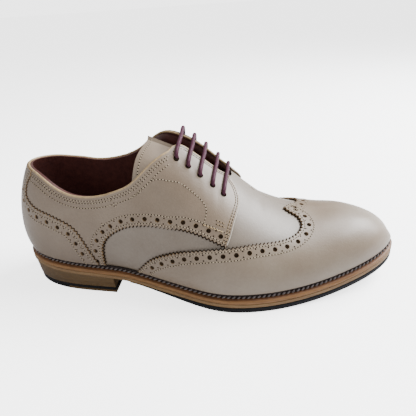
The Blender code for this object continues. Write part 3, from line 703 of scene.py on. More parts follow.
def origin():
    """Where the CAD source moves the last's own frame to."""
    x, y, nx, ny = plan_outline()
    edge_x, edge_y = x + nx * WELT_OUT, y + ny * WELT_OUT
    return np.array([-(edge_x.min() + edge_x.max()) / 2, -(edge_y.min() + edge_y.max()) / 2, 0.0])


# Materials

def shader_of(name, colour, roughness, coat=0.0, specular=0.5):
    made = bpy.data.materials.new(name)
    made.use_nodes = True
    shader = made.node_tree.nodes["Principled BSDF"]
    shader.inputs["Base Color"].default_value = (*colour, 1.0)
    shader.inputs["Roughness"].default_value = roughness
    shader.inputs["Coat Weight"].default_value = coat
    shader.inputs["Coat Roughness"].default_value = 0.35
    shader.inputs["Specular IOR Level"].default_value = specular
    made.diffuse_color = (*colour, 1.0)
    return made, shader


def link(tree, source, target):
    tree.links.new(source, target)


def add_node(tree, kind, inputs):
    """A shader node with its inputs set to values, or linked where a value is another node's output."""
    made = tree.nodes.new(f"ShaderNode{kind}")
    for name, value in inputs.items():
        if isinstance(value, bpy.types.NodeSocket):
            link(tree, value, made.inputs[name])
        else:
            made.inputs[name].default_value = value
    return made


def own_place(tree):
    return add_node(tree, "TexCoord", {}).outputs["Object"]


def noise(tree, scale, detail=4.0, rough=0.55, stretch=(1, 1, 1)):
    """A noise texture over the object's own coordinates; its factor socket."""
    place = add_node(tree, "Mapping", {"Scale": stretch, "Vector": own_place(tree)}).outputs["Vector"]
    values = {"Scale": scale, "Detail": detail, "Roughness": rough, "Vector": place}
    return add_node(tree, "TexNoise", values).outputs["Fac"]


def cells(tree, scale):
    return add_node(tree, "TexVoronoi", {"Scale": scale, "Vector": own_place(tree)}).outputs["Distance"]


def ramp(tree, factor, stops):
    made = tree.nodes.new("ShaderNodeValToRGB")
    elements = made.color_ramp.elements
    while len(elements) < len(stops):
        elements.new(0.5)
    for element, (at, colour) in zip(elements, stops):
        element.position = at
        element.color = (*colour, 1.0)
    link(tree, factor, made.inputs["Fac"])
    return made.outputs["Color"]


def mixed(tree, factor, first, second, mode="MIX"):
    made = tree.nodes.new("ShaderNodeMix")
    made.data_type = "RGBA"
    made.blend_type = mode
    for name, value in (("Factor", factor), ("A", first), ("B", second)):
        if isinstance(value, bpy.types.NodeSocket):
            link(tree, value, made.inputs[name])
        else:
            made.inputs[name].default_value = (*value, 1.0) if isinstance(value, tuple) else value
    return made.outputs["Result"]


def bump(tree, shader, heights, distance):
    """Adds bumps from (factor, strength) pairs, each on top of the last."""
    below = {}
    for height, strength in heights:
        made = add_node(tree, "Bump", {"Strength": strength, "Distance": distance, "Height": height, **below})
        below = {"Normal": made.outputs["Normal"]}
    link(tree, below["Normal"], shader.inputs["Normal"])


def along_axis(tree, axis, low, high):
    """0 to 1 along one of the object's axes."""
    place = add_node(tree, "SeparateXYZ", {"Vector": own_place(tree)}).outputs[axis]
    made = add_node(tree, "MapRange", {"From Min": low, "From Max": high, "Value": place})
    made.interpolation_type = "SMOOTHSTEP"
    return made.outputs["Result"]


PLAIN = (1.0, 1.0, 1.0)

# Painted light on the calf, multiplied into its colour: painted shade towards the heel, a bluish painted
# highlight at the toe and painted shade towards the sole. Axis, from, to in metres, then what the colour is
# multiplied by before and past that
PAINTED_LIGHT_BANDS = (
    ("X", -0.15, 0.05, (0.74, 0.70, 0.67), PLAIN),
    ("X", 0.118, 0.15, PLAIN, (1.45, 1.55, 1.75)),
    ("Z", 0.015, 0.075, (0.74, 0.71, 0.68), PLAIN),
)
LEATHER_DEPTH = 0.4 * MM        # of bumps
LAYER_DEPTH = 0.5 * MM


def upper_leather(name, pale, mid, dark):
    """Smooth calf with painted shade that deepens towards the heel and the sole, a painted highlight at the
    toe, pores and faint clouding.
    """
    made, shader = shader_of(name, mid, 0.5, coat=0.2)
    tree = made.node_tree
    tone = ramp(tree, noise(tree, 14, 3.0), [(0.3, dark), (0.52, mid), (0.75, pale)])
    # painted light: shade towards the heel and the sole, a bluish highlight at the toe
    for axis, low, high, before, past in PAINTED_LIGHT_BANDS:
        painted_light_band = mixed(tree, along_axis(tree, axis, low, high), before, past)
        tone = mixed(tree, 1.0, tone, painted_light_band, "MULTIPLY")
    fine = ramp(tree, noise(tree, 420, 5.0), [(0.35, (0.93, 0.92, 0.90)), (0.65, PLAIN)])
    link(tree, mixed(tree, 1.0, tone, fine, "MULTIPLY"), shader.inputs["Base Color"])
    rough = add_node(tree, "MapRange", {"To Min": 0.42, "To Max": 0.6, "Value": noise(tree, 60, 3.0)})
    link(tree, rough.outputs["Result"], shader.inputs["Roughness"])
    heights = [(noise(tree, 700, 6.0, 0.6), 0.25), (cells(tree, 1500), 0.12), (noise(tree, 45, 2.0), 0.2)]
    bump(tree, shader, heights, LEATHER_DEPTH)
    return made


def plain_leather(name, colour, dark, scale, roughness, coat=0.0, strength=0.3, specular=0.5):
    made, shader = shader_of(name, colour, roughness, coat, specular)
    tree = made.node_tree
    tone = ramp(tree, noise(tree, scale, 5.0), [(0.3, dark), (0.7, colour)])
    link(tree, tone, shader.inputs["Base Color"])
    bump(tree, shader, [(noise(tree, scale * 2, 5.0), strength)], LEATHER_DEPTH)
    return made


def layered(name, colour, dark, fineness):
    """Leather edges with fine lines along the layers."""
    made, shader = shader_of(name, colour, 0.55, 0.03, 0.25)
    tree = made.node_tree
    tone = ramp(tree, noise(tree, 40, 6.0, 0.65, (0.5, 0.5, 12)), [(0.3, dark), (0.68, colour)])
    mottled = ramp(tree, noise(tree, 260, 4.0), [(0.3, (0.8, 0.78, 0.75)), (0.7, PLAIN)])
    link(tree, mixed(tree, 0.7, tone, mottled, "MULTIPLY"), shader.inputs["Base Color"])
    heights = [(noise(tree, fineness, 3.0, 0.6, (0.4, 0.4, 6)), 0.35), (noise(tree, 900, 3.0), 0.15)]
    bump(tree, shader, heights, LAYER_DEPTH)
    return made


# Colours of each look. Calf: pale, middle, dark
CALF = {
    "vamp": ((0.205, 0.178, 0.150), (0.170, 0.140, 0.111), (0.13, 0.099, 0.072)),
    "cap": ((0.208, 0.172, 0.130), (0.170, 0.127, 0.087), (0.13, 0.089, 0.053)),
    "quarter": ((0.202, 0.160, 0.117), (0.166, 0.123, 0.085), (0.125, 0.087, 0.055)),
}
# Colour, dark, scale of the grain, roughness, then coat, strength of the grain and gloss
OTHERS = {
    "lining": ((0.062, 0.018, 0.014), (0.035, 0.009, 0.008), 220, 0.42, 0.1),
    "cut_edge": ((0.20, 0.125, 0.055), (0.09, 0.05, 0.02), 700, 0.7),
    "edge_shade": ((0.016, 0.009, 0.005), (0.007, 0.004, 0.002), 700, 0.9, 0.0, 0.3, 0.0),
    # pale cord down each facing's front edge: painted highlight on the folded edge
    "pale_edge": ((0.38, 0.34, 0.29), (0.26, 0.22, 0.18), 500, 0.5),
    "binding": ((0.30, 0.21, 0.105), (0.19, 0.125, 0.06), 500, 0.5),
    "stitch": ((0.33, 0.27, 0.19), (0.20, 0.15, 0.095), 2500, 0.6),
    "gold_stitch": ((0.28, 0.19, 0.09), (0.16, 0.10, 0.045), 2500, 0.6),
    # flat dark discs: painted shade in needle holes, small punched holes and eyelets
    "hole_shade": ((0.012, 0.008, 0.005), (0.006, 0.004, 0.003), 900, 0.9, 0.0, 0.3, 0.0),
    # leather behind the big holes, darkened to near black as painted shade in them
    "underlay_and_shade": ((0.032, 0.019, 0.008), (0.010, 0.006, 0.003), 500, 0.9, 0.0, 0.3, 0.1),
    "cord": ((0.062, 0.013, 0.030), (0.028, 0.006, 0.014), 1800, 0.5, 0.0, 0.6, 0.2),
    "rand": ((0.010, 0.004, 0.003), (0.005, 0.002, 0.002), 400, 0.6, 0.0, 0.3, 0.15),
    "rand_stitch": ((0.105, 0.084, 0.080), (0.03, 0.021, 0.019), 1500, 0.5, 0.0, 0.3, 0.4),
    "welt_top": ((0.15, 0.062, 0.02), (0.085, 0.033, 0.011), 260, 0.5, 0.05),
    "rubber": ((0.004, 0.004, 0.006), (0.002, 0.002, 0.003), 600, 0.6, 0.0, 0.25, 0.12),
}
# Colour, dark, fineness of the lines
LAYERS = {
    "welt_edge": ((0.185, 0.090, 0.029), (0.11, 0.048, 0.014), 500),
    "midsole": ((0.175, 0.104, 0.043), (0.09, 0.046, 0.017), 400),
    "stack": ((0.082, 0.045, 0.013), (0.052, 0.027, 0.007), 300),
}
LOOKS = {name: upper_leather(f"{name}_calf", *tones) for name, tones in CALF.items()}
LOOKS.update({name: plain_leather(name, *values) for name, values in OTHERS.items()})
LOOKS.update({name: layered(name, *values) for name, values in LAYERS.items()})


# Building meshes on the form

def add_piece(name, points, faces, looks, marks=None, node=None, slot=None, sharp=38):
    """One smooth mesh in the CAD frame: marks gives each face's place in looks."""
    mesh = bpy.data.meshes.new(name)
    mesh.from_pydata((np.asarray(points) + ORIGIN).tolist(), [], [list(map(int, face)) for face in faces])
    for look in looks:
        mesh.materials.append(LOOKS[look])
    if marks is not None:
        mesh.polygons.foreach_set("material_index", np.asarray(marks, np.int32))
    work = bmesh.new()
    work.from_mesh(mesh)
    bmesh.ops.recalc_face_normals(work, faces=work.faces)
    work.to_mesh(mesh)
    work.free()
    mesh.shade_smooth()
    mesh.set_sharp_from_angle(angle=math.radians(sharp))
    piece = bpy.data.objects.new(name, mesh)
    bpy.context.scene.collection.objects.link(piece)
    if node is not None:
        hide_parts(node)
    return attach(piece, "root")


def marked_shell(outer, inner, faces):
    """shell() with a mark for each face: 0 outside, 1 inside, 2 along the edge."""
    points, made = shell(outer, inner, faces)
    count = len(points) // 2
    marks = []
    for face in made:
        low = min(face) < count
        high = max(face) >= count
        marks.append(2 if low and high else int(high))
    return points, made, marks


def outward(turn, side, level, out, lift):
    """Unit normals of the form, by small steps."""
    step = 0.004
    turn, side, level = np.broadcast_arrays(np.asarray(turn, float), side, np.asarray(level, float))
    a, b = np.clip(turn, step, 1 - step), np.clip(level, step, 1 - step)
    along = form(a + step, side, b, out, lift) - form(a - step, side, b, out, lift)
    upward = form(a, side, b + step, out, lift) - form(a, side, b - step, out, lift)
    normal = np.cross(along, upward) * -np.sign(side)[..., None]
    return unit(normal)


# Soft troughs and ridges of the leather: share of LAST_LENGTH, side, level where the middle lies, reach along
# and across as shares, depth (below 0 is a ridge) in mm
CREASES = (
    # along, side, level, reach along, reach level, depth
    (0.441, -1, 0.70, 0.008, 0.09, 0.7),
    (0.469, -1, 0.70, 0.008, 0.09, 0.8),
    (0.498, -1, 0.69, 0.008, 0.09, 0.8),
    (0.527, -1, 0.68, 0.008, 0.09, 0.7),
    (0.554, -1, 0.66, 0.008, 0.09, 0.6),
    (0.640, -1, 0.90, 0.010, 0.16, 0.5),
    (0.672, -1, 0.92, 0.010, 0.14, 0.45),
    (0.655, 1, 0.88, 0.012, 0.18, 0.5),
    (0.656, -1, 0.86, 0.008, 0.16, -0.35),
    (0.30, -1, 0.30, 0.05, 0.05, 0.5),
    (0.36, -1, 0.50, 0.03, 0.04, -0.45),
    (0.405, -1, 0.44, 0.02, 0.05, 0.5),
    (0.42, 1, 0.35, 0.05, 0.06, 0.5),
)


def relief(share, side, level):
    """How far the leather stands in or out of the plain form."""
    found = 0.16 * MM * np.sin(31 * share + 2 * side) * np.sin(9 * level + 14 * share)
    found = found + 0.09 * MM * np.sin(67 * share - 11 * level + side)
    for along, which, middle, reach, reach_level, depth in CREASES:
        across = ((share - along) / reach) ** 2 + ((level - middle) / reach_level) ** 2
        found = found - np.where(side == which, depth * MM * np.exp(-across), 0)
    ends = np.clip(share / 0.04, 0, 1) * np.clip((1 - share) / 0.06, 0, 1)
    return found * ends * np.clip(level / 0.12, 0, 1)


def skin(turn, side, level, out=0.0, lift=0.0):
    """A point of the leather's surface: the form with its soft troughs and ridges."""
    turn, side, level = np.broadcast_arrays(np.asarray(turn, float), side, np.asarray(level, float))
    moved = relief(share_at(turn), side, level)[..., None]
    return form(turn, side, level, out, lift) + outward(turn, side, level, out, lift) * moved


def unrolled(flat, sheet):
    """(turn, side, level) of places laid flat.

    A sheet is one side of the foot, -1 or 1, or crosses from the outer side to the inner: "level" over the
    top, past level 1, and "turn" round the heel, below turn 0.
    """
    turn, level = flat[:, 0] / TURN_LENGTH, flat[:, 1] / RISE_LENGTH
    if sheet == "turn":
        return np.abs(turn), np.where(turn < 0, 1, -1), level
    if sheet == "level":
        return turn, np.where(level > 1, 1, -1), np.where(level > 1, 2 - level, level)
    return turn, np.full(len(turn), sheet), level


def placed(flat, sheet, out):
    return skin(*unrolled(np.asarray(flat, float), sheet), out, LIFT)


def normals(flat, sheet, out):
    return outward(*unrolled(np.asarray(flat, float), sheet), out, LIFT)


def slopes(flat, sheet):
    """How far the form's points move for a step along the flat, and for a step up it, per metre."""
    found = []
    for way in ((FLAT_STEP, 0), (0, FLAT_STEP)):
        ahead, behind = placed(flat + way, sheet, TOP), placed(flat - way, sheet, TOP)
        found.append((ahead - behind) / (2 * FLAT_STEP))
    return found


def shifted(flat, sheet, distance):
    """A flat path moved to its left by a true distance on the form; distance may differ along it."""
    flat = np.asarray(flat, float)
    gradient = np.gradient(flat, axis=0)
    by_turn, by_rise = slopes(flat, sheet)
    tangent = by_turn * gradient[:, :1] + by_rise * gradient[:, 1:]
    left = unit(np.cross(np.cross(by_turn, by_rise), tangent))
    matrices = np.stack([by_turn, by_rise], axis=2)
    moves = np.einsum("nij,nj->ni", np.linalg.pinv(matrices, rcond=1e-4), left)
    return flat + moves * np.reshape(distance, (-1, 1))


def spaced(flat, sheet, step, start=0.0):
    """A flat path sampled at equal true distances along it."""
    flat = np.asarray(flat, float)
    run = lengths(placed(flat, sheet, TOP))
    return places_at(np.arange(start, run[-1] + WELD, step), run, flat)


def pinked(flat, sheet):
    """A flat path cut in teeth that point to its right."""
    even = spaced(flat, sheet, PINK_PITCH / 2)
    cut = shifted(even, sheet, np.where(np.arange(len(even)) % 2, PINK_DEPTH, 0))
    return np.concatenate([cut, flat[-1:]])


# Small meshes by look: stitches, discs of painted shade for needle holes, and the dark leather and painted
# shade behind holes and under edges
THREADS = {}


def gather(look, points, faces, copies=1):
    """Keeps copies of a small mesh for the one piece that each such look makes."""
    THREADS.setdefault(look, []).append((points, faces, copies))


def shade_edge(path, sheet, inward_by, out=0.3 * MM, reach=0.9 * MM):
    """A narrow dark strip under a pinked edge, which the teeth stand over."""
    reaches = (-reach * inward_by, 1.6 * MM * inward_by)
    rims = [placed(shifted(path, sheet, away), sheet, out) for away in reaches]
    count = len(path)
    faces = [(i, i + 1, count + i + 1, count + i) for i in range(count - 1)]
    gather("edge_shade", np.concatenate(rims), faces)


def circle(centre, sheet, radius, count):
    """A round hole's rim, laid flat."""
    by_turn, by_rise = (slope[0] for slope in slopes(centre[None], sheet))
    first = by_turn / np.linalg.norm(by_turn)
    second = by_rise - first * (by_rise @ first)
    second /= np.linalg.norm(second)
    angle = np.linspace(0, 2 * math.pi, count, endpoint=False)
    rim = radius * (np.cos(angle)[:, None] * first + np.sin(angle)[:, None] * second)
    return centre + rim @ np.linalg.pinv(np.stack([by_turn, by_rise], axis=1)).T


def punched(path, sheet, outline, start):
    """Big holes along a flat path with pairs of small ones between: a list of (place, radius)."""
    big, between = (spaced(path, sheet, PUNCH_PITCH, start + at) for at in (0, PUNCH_PITCH / 2))
    holes = [(place, PUNCH) for place in big]
    for aside in (-PIN_ASIDE, PIN_ASIDE):
        holes += [(place, PIN) for place in shifted(between, sheet, aside)]
    rim = placed(outline, sheet, TOP)
    kept = []
    for place, radius in holes:
        middle = placed(place[None], sheet, TOP)[0]
        clear = np.linalg.norm(rim - middle, axis=1).min() > radius + EDGE_MARGIN
        if clear and inside(place[None], outline)[0]:
            kept.append((place, radius))
    return kept


def fine_lattice(sheet):
    """The upper's own grid over a sheet, laid flat."""
    turn, rise = upper_grid()
    outer, inner = (rise * top_level(turn, side) for side in (-1, 1))
    crossing = {"turn": [(turn, outer), (-turn[1:], inner[1:])], "level": [(turn, outer), (turn, 2 - inner)]}
    parts = crossing.get(sheet, [(turn, outer if sheet == -1 else inner)])
    flat = [np.stack([a.reshape(-1) * TURN_LENGTH, b.reshape(-1) * RISE_LENGTH], axis=1) for a, b in parts]
    return np.unique(np.round(np.concatenate(flat), 6), axis=0)


def panel(name, outline, sheet, low, high, holes, node, look):
    """A leather overlay between two heights above the upper, with its holes cut through."""
    grid = fine_lattice(sheet)
    grid = grid[inside(grid, outline)]
    grid = grid[clear_of(grid, outline, EDGE_MARGIN)]
    solid = placed(grid, sheet, high)
    rims = []
    for place, radius in holes:
        rims.append(circle(place, sheet, radius, PUNCH_SIDES if radius > PIN else PIN_SIDES))
        clear = np.linalg.norm(solid - placed(place[None], sheet, high), axis=1) > radius + HOLE_MARGIN
        grid, solid = grid[clear], solid[clear]
    corners = np.cumsum([0, len(outline)] + [len(rim) for rim in rims]).tolist()
    loops = [list(range(a, b)) for a, b in zip(corners, corners[1:])]
    edges = [(loop[i - 1], loop[i]) for loop in loops for i in range(len(loop))]
    flat = [Vector(place) for place in np.concatenate([outline, *rims, grid])]
    points, _, faces, *_ = delaunay_2d_cdt(flat, edges, loops[:1], 1, 1e-8)
    flat = np.array([tuple(point) for point in points])
    outer, inner = placed(flat, sheet, high), placed(flat, sheet, low)
    faces = outside_holes(faces, outer, holes, sheet, high)
    points, faces, marks = marked_shell(outer, inner, faces)
    back_holes(holes, sheet, low, high)
    add_piece(name, points, faces, (look, "lining", "cut_edge"), marks, node, "upper_leather")


def outside_holes(faces, points, holes, sheet, out):
    """The faces that don't lie over a hole."""
    faces = np.array([face for face in faces if len(face) == 3])
    middle = points[faces].mean(axis=1)
    kept = np.ones(len(faces), bool)
    for place, radius in holes:
        centre = placed(place[None], sheet, out)
        kept &= np.linalg.norm(middle - centre, axis=1) > radius * 0.97
    return faces[kept].tolist()


def back_holes(holes, sheet, low, high):
    """Leather behind the big holes, coloured near black so that it also stands as painted shade in them, and
    discs of painted shade in the small ones and in the eyelets.
    """
    for place, radius in holes:
        look, wide, deep = "underlay_and_shade", 1.15, low + 0.02 * MM
        if radius != PUNCH:
            look, wide, deep = "hole_shade", 0.98, high - 0.25 * MM
        rim = placed(circle(place, sheet, radius * wide, BACK_SIDES), sheet, deep)
        gather(look, rim, [tuple(range(len(rim)))])


def sleeve(count, around):
    """Faces of a round bar of `count` rings with `around` points each, closed at both ends."""
    sides = [
        (a + k, a + around + k, a + around + (k + 1) % around, a + (k + 1) % around)
        for a in range(0, (count - 1) * around, around)
        for k in range(around)
    ]
    last = (count - 1) * around
    return [*sides, tuple(range(around)), tuple(reversed(range(last, last + around)))]


# Rings of a stitch: place along it and radius, as shares of its half length and its radius
THREAD_RINGS = ((-1.0, 0.25), (-0.75, 0.8), (0.0, 1.0), (0.75, 0.8), (1.0, 0.25))


def capsule():
    """A short rounded thread along x, unit half length and radius."""
    points = [(along, wide * y, wide * z) for along, wide in THREAD_RINGS for y, z, _ in disc()[0]]
    return np.array(points), sleeve(len(THREAD_RINGS), THREAD_SIDES)


def disc():
    """A flat unit disc."""
    angles = [2 * math.pi * k / THREAD_SIDES for k in range(THREAD_SIDES)]
    return np.array([(math.cos(angle), math.sin(angle), 0) for angle in angles]), [tuple(range(THREAD_SIDES))]


def scatter(look, template, centres, axes, sizes):
    """Copies of a template, each with its own three axes."""
    points, faces = template
    world = centres[:, None] + np.einsum("nij,npj->npi", axes, points[None] * sizes)
    gather(look, world.reshape(-1, 3), faces, len(centres))


def sew(points, ups, look="stitch", pitch=STITCH_PITCH, size=STITCH_SIZE, twist=0.0, prick=True):
    """Stitches and needle holes, as discs of painted shade, along a path of points with the surface's normals
    there.
    """
    run = lengths(points)
    at = np.arange(pitch / 2, run[-1] - pitch / 4, pitch)
    place, up = places_at(at, run, points), unit(places_at(at, run, ups))
    along = unit(places_at(at + pitch / 4, run, points) - places_at(at - pitch / 4, run, points))
    across = unit(np.cross(up, along))
    turned = along * math.cos(twist) + across * math.sin(twist)
    axes = np.stack([turned, np.cross(up, turned), up], axis=2)
    length, radius = size
    scatter(look, capsule(), place + up * radius * 0.25, axes, np.array([length / 2, radius, radius]))
    if prick:
        # each needle hole is a flat dark disc of painted shade
        start = place - along * pitch / 2 + up * 0.03 * MM
        scatter("hole_shade", disc(), start, np.stack([along, across, up], axis=2), np.array(NEEDLE_HOLE))


def sew_on(flat, sheet, rows=((0, 0),), **how):
    """Sews along a flat path, in rows given as how far to its left they lie and where along it they start."""
    for distance, start in rows:
        path = shifted(spaced(flat, sheet, MM, start), sheet, distance)
        sew(placed(path, sheet, TOP), normals(path, sheet, TOP), **how)


def join_threads():
    """One piece for each look that was gathered."""
    for look, batches in THREADS.items():
        faces, start = [], 0
        for points, shape, copies in batches:
            size = len(points) // copies
            for first in range(start, start + len(points), size):
                faces += [[first + corner for corner in face] for face in shape]
            start += len(points)
        add_piece(f"{look}_work", np.concatenate([batch[0] for batch in batches]), faces, (look,))


def tube(points, radius, around):
    """A round cord along points."""
    ahead = unit(np.gradient(points, axis=0))
    normal = np.cross(ahead[0], (0.3, 0.1, 1.0))
    angle = np.linspace(0, 2 * math.pi, around, endpoint=False)[:, None]
    rings = []
    for place, way in zip(points, ahead):
        normal = normal - way * (normal @ way)
        normal /= np.linalg.norm(normal)
        rings.append(place + radius * (np.cos(angle) * normal + np.sin(angle) * np.cross(way, normal)))
    return np.concatenate(rings), sleeve(len(points), around)


# The pieces

def dress_upper():
    """The lined vamp and quarters under the overlays."""
    turn, rise = upper_grid()
    sheets = {}
    for out in (0.0, -WALL):
        sides = [skin(turn, side, rise * top_level(turn, side), out).reshape(-1, 3) for side in (-1, 1)]
        sheets[out] = np.concatenate(sides)
    faces = grid_faces(*turn.shape) + grid_faces(*turn.shape, start=turn.size)
    points, faces, marks = marked_shell(sheets[0.0], sheets[-WALL], faces)
    add_piece("vamp", points, faces, ("vamp", "lining", "lining"), marks, "upper", "upper_leather")


def dress_wing_cap():
    edge = flat_curve(WING_EDGE)
    edge = np.concatenate([edge, opposite(edge)[1:]])
    cut = pinked(edge[::-1], "level")[::-1]
    cut[0, 1], cut[-1, 1] = 0, 2 * RISE_LENGTH
    inner = [(turn, 2 * RISE_LENGTH) for turn in stations_between(cut[-1, 0], TURN_LENGTH)]
    outer = [(turn, 0) for turn in stations_between(TURN_LENGTH, cut[0, 0])]
    tip = [(TURN_LENGTH, level * RISE_LENGTH) for level in np.linspace(2, 0, 12)]
    outline = np.concatenate([cut, inner, tip, outer])
    holes = punch_row(edge, "level", outline, *WING_PUNCHING)
    shade_edge(cut[1:-1], "level", -1)
    panel("wing_cap_leather", outline, "level", ROUND_GAP, TOP, holes, "wing_cap", "cap")
    sew_on(edge, "level", WING_ROWS)


def punch_row(edge, sheet, outline, distance, start):
    """Punching along a row beside an edge."""
    row = shifted(spaced(edge, sheet, 1.5 * MM), sheet, distance)
    return punched(row, sheet, outline, start)


def dress_counter():
    edge = below_top(flat_curve(COUNTER_EDGE), -1)
    cut = pinked(edge, "turn")
    cut[-1, 1] = 0
    outer = [(turn, 0) for turn in stations_between(cut[-1, 0], 0)]
    half = np.concatenate([top_edge(0, cut[0, 0], -1), cut, outer, [(0, 0)]])
    outline = np.concatenate([half, half[-2:0:-1] * (-1, 1)])
    holes = punch_row(edge, "turn", outline, *COUNTER_PUNCHING)
    holes += [(place * (-1, 1), radius) for place, radius in holes]
    low = TOP + COUNTER_GAP
    panel("counter_leather", outline, "turn", low, COUNTER_TOP, holes, "heel_counter", "quarter")
    for sign in (1, -1):
        shade_edge(cut[1:-1] * (sign, 1), "turn", -sign, TOP + 0.03 * MM)
        for distance, start in COUNTER_ROWS:
            path = shifted(spaced(edge, "turn", MM, start), "turn", distance) * (sign, 1)
            sew(placed(path, "turn", COUNTER_TOP), normals(path, "turn", COUNTER_TOP))


# Rows of stitches beside an edge: how far to its left, and where along it they start
WING_ROWS = ((-2.3 * MM, 0), (-9.4 * MM, 6 * MM))
COUNTER_ROWS = ((-1.9 * MM, 0), (-8.6 * MM, 32 * MM))
SWAN_ROWS = ((2.4 * MM, 0), (9.6 * MM, 3 * MM))
FACING_ROWS = ((1.5 * MM, 0), (3.2 * MM, 0))
COLLAR_ROWS = ((2.6 * MM, 0), (4.4 * MM, 0), (8.0 * MM, 10 * MM))

# Rows of punching, in the same way
WING_PUNCHING = (-5.6 * MM, 5 * MM)
COUNTER_PUNCHING = (-5.2 * MM, 20 * MM)
SWAN_PUNCHING = (5.9 * MM, 4 * MM)

# Decorative stitching on a quarter: share of LAST_LENGTH, then level
APRON_LINE = (
    # along, level
    (0.343, 0.367),
    (0.371, 0.434),
    (0.395, 0.502),
    (0.415, 0.537),
    (0.440, 0.558),
    (0.473, 0.561),
    (0.500, 0.549),
    (0.517, 0.535),
    (0.526, 0.510),
    (0.527, 0.475),
    (0.521, 0.413),
)
# The corded seam at its foot, and the short bars of stitches over it
SEAM_LINE = ((0.519, 0.405), (0.545, 0.412), (0.573, 0.421))
SEAM_PITCH, SEAM_STITCH = 2.6 * MM, (2.3 * MM, 0.5 * MM)
BAR_LINES = (
    ((0.551, 0.446), (0.562, 0.449), (0.574, 0.452)),
    ((0.551, 0.468), (0.562, 0.471), (0.574, 0.474)),
)
FACING_START = 0.452            # shares of LAST_LENGTH between which the rows run
COLLAR_START, COLLAR_END = 0.445, 0.03


def eyelet_reaches():
    """How far each eyelet lies from the top line, along the section."""
    down = np.arange(len(EYELETS)) / (len(EYELETS) - 1)
    return THROAT_GAP / 2 + EYELET_INSET + EYELET_SPREAD * down


def eyelet_places(side):
    """The eyelets of one facing, laid flat."""
    found = []
    level = np.linspace(0.2, 1.0, 400)
    for turn, reach in zip(turn_at(EYELETS), eyelet_reaches()):
        left = lengths(form(turn, side, level, TOP, LIFT)[::-1])[::-1]
        found.append((turn * TURN_LENGTH, np.interp(-reach, -left, level) * RISE_LENGTH))
    return np.array(found)


def dress_quarter(name, side):
    swan = flat_curve(SWAN_EDGE)
    front = flat_curve(FRONT_EDGE)[1:-1]
    front_end = flat_rows(FRONT_EDGE)[-1, 0]
    cut = pinked(swan, side)
    cut[0, 1] = 0
    bottom = [(turn, 0) for turn in stations_between(0, cut[0, 0])]
    bottom = np.reshape([(0, 0), *bottom], (-1, 2))
    outline = np.concatenate([bottom, cut, front, top_edge(front_end, 0, side)])
    holes = punch_row(swan, side, outline, *SWAN_PUNCHING)
    holes += [(place, EYELET) for place in eyelet_places(side)]
    shade_edge(cut[1:-1], side, 1, 0.55 * MM, 1.2 * MM)
    panel(f"{name}_leather", outline, side, ROUND_GAP, TOP, holes, name, "quarter")
    sew_on(swan, side, SWAN_ROWS)
    # a pale cord along the front edge: painted highlight on the folded edge
    rim = placed(spaced(front, side, 1.2 * MM), side, TOP - 0.25 * MM)
    add_piece(f"{name}_front_edge", *tube(rim, FRONT_CORD, FRONT_SIDES), ("pale_edge",))
    facing = np.concatenate([front, top_edge(front_end, turn_at(FACING_START) * TURN_LENGTH, side)])
    sew_on(facing, side, FACING_ROWS, look="gold_stitch")
    collar = top_edge(*(turn_at(share) * TURN_LENGTH for share in (COLLAR_START, COLLAR_END)), side)
    sew_on(collar, side, COLLAR_ROWS)
    sew_on(flat_curve(APRON_LINE), side)
    sew_on(flat_curve(SEAM_LINE), side, look="binding", pitch=SEAM_PITCH, size=SEAM_STITCH)
    for line in BAR_LINES:
        sew_on(flat_curve(line), side, look="gold_stitch")


def dress_binding():
    """The rolled edge that runs round the collar and down both facings."""
    turns = np.linspace(0, turn_at(FRONT_EDGE[-1][0]), BINDING_STEPS)
    outer, inner = (skin(turns, side, top_level(turns, side), TOP / 2, LIFT) for side in (-1, 1))
    path = np.concatenate([outer[::-1], inner[1:]])
    keep = np.concatenate([[True], np.linalg.norm(np.diff(path, axis=0), axis=1) > 0.2 * MM])
    add_piece("collar_binding", *tube(path[keep], BINDING, BINDING_SIDES), ("binding",))


TONGUE_ROWS, STANDING_ROWS, TONGUE_COLUMNS = 30, 15, 41
TONGUE_STITCH = (1.5 * MM, 0.35 * MM)              # length and radius


def dress_tongue():
    """The tongue under the facings, and its end that stands out past them and bends back."""
    lay = np.linspace(TONGUE_ROOT, THROAT_TOP, TONGUE_ROWS)
    stand = np.linspace(0, 1, STANDING_ROWS + 1)[1:]
    spread = np.linspace(-1, 1, TONGUE_COLUMNS)
    middle = len(spread) // 2
    twist = 1 - TONGUE_TWIST * (1 + spread) / 2
    step = TONGUE_REACH / len(stand) * (1 - TONGUE_SLANT * spread)
    sheets = []
    for depth in (-WALL - 2 * GAP, -WALL - 2 * GAP - TONGUE):
        rows = [tongue_row(share, spread, depth) for share in lay]
        way = rows[-1][middle] - rows[-2][middle]
        slope = math.atan2(way[2], -way[0])
        for part in stand:
            bent = slope - math.radians(TONGUE_BEND) * part * twist
            rows.append(rows[-1] + np.stack([-step * np.cos(bent), 0 * bent, step * np.sin(bent)], axis=1))
        sheets.append(np.array(rows))
    outer, inner = sheets
    faces = grid_faces(len(outer), len(spread))
    points, faces, marks = marked_shell(outer.reshape(-1, 3), inner.reshape(-1, 3), faces)
    looks = ("quarter", "lining", "cut_edge")
    add_piece("tongue_leather", points, faces, looks, marks, "tongue", "upper_leather")
    up = unit(np.cross(np.gradient(outer, axis=0), np.gradient(outer, axis=1)))
    up *= np.sign(up[:, :, 2:].mean())
    sew(outer[-3, 1:-1], up[-3, 1:-1], size=TONGUE_STITCH)


# A bar's way down into its eyelet: back towards the throat, then height above the upper
LACE_DIP = ((2.4 * MM, -1.2 * MM), (1.7 * MM, 0.4 * MM), (1.4 * MM, TOP), (1.4 * MM, 0.8 * (TOP + LACE / 2)))
LACE_LEAN = 2.5 * MM            # how far the middle of a bar lies in front of its ends


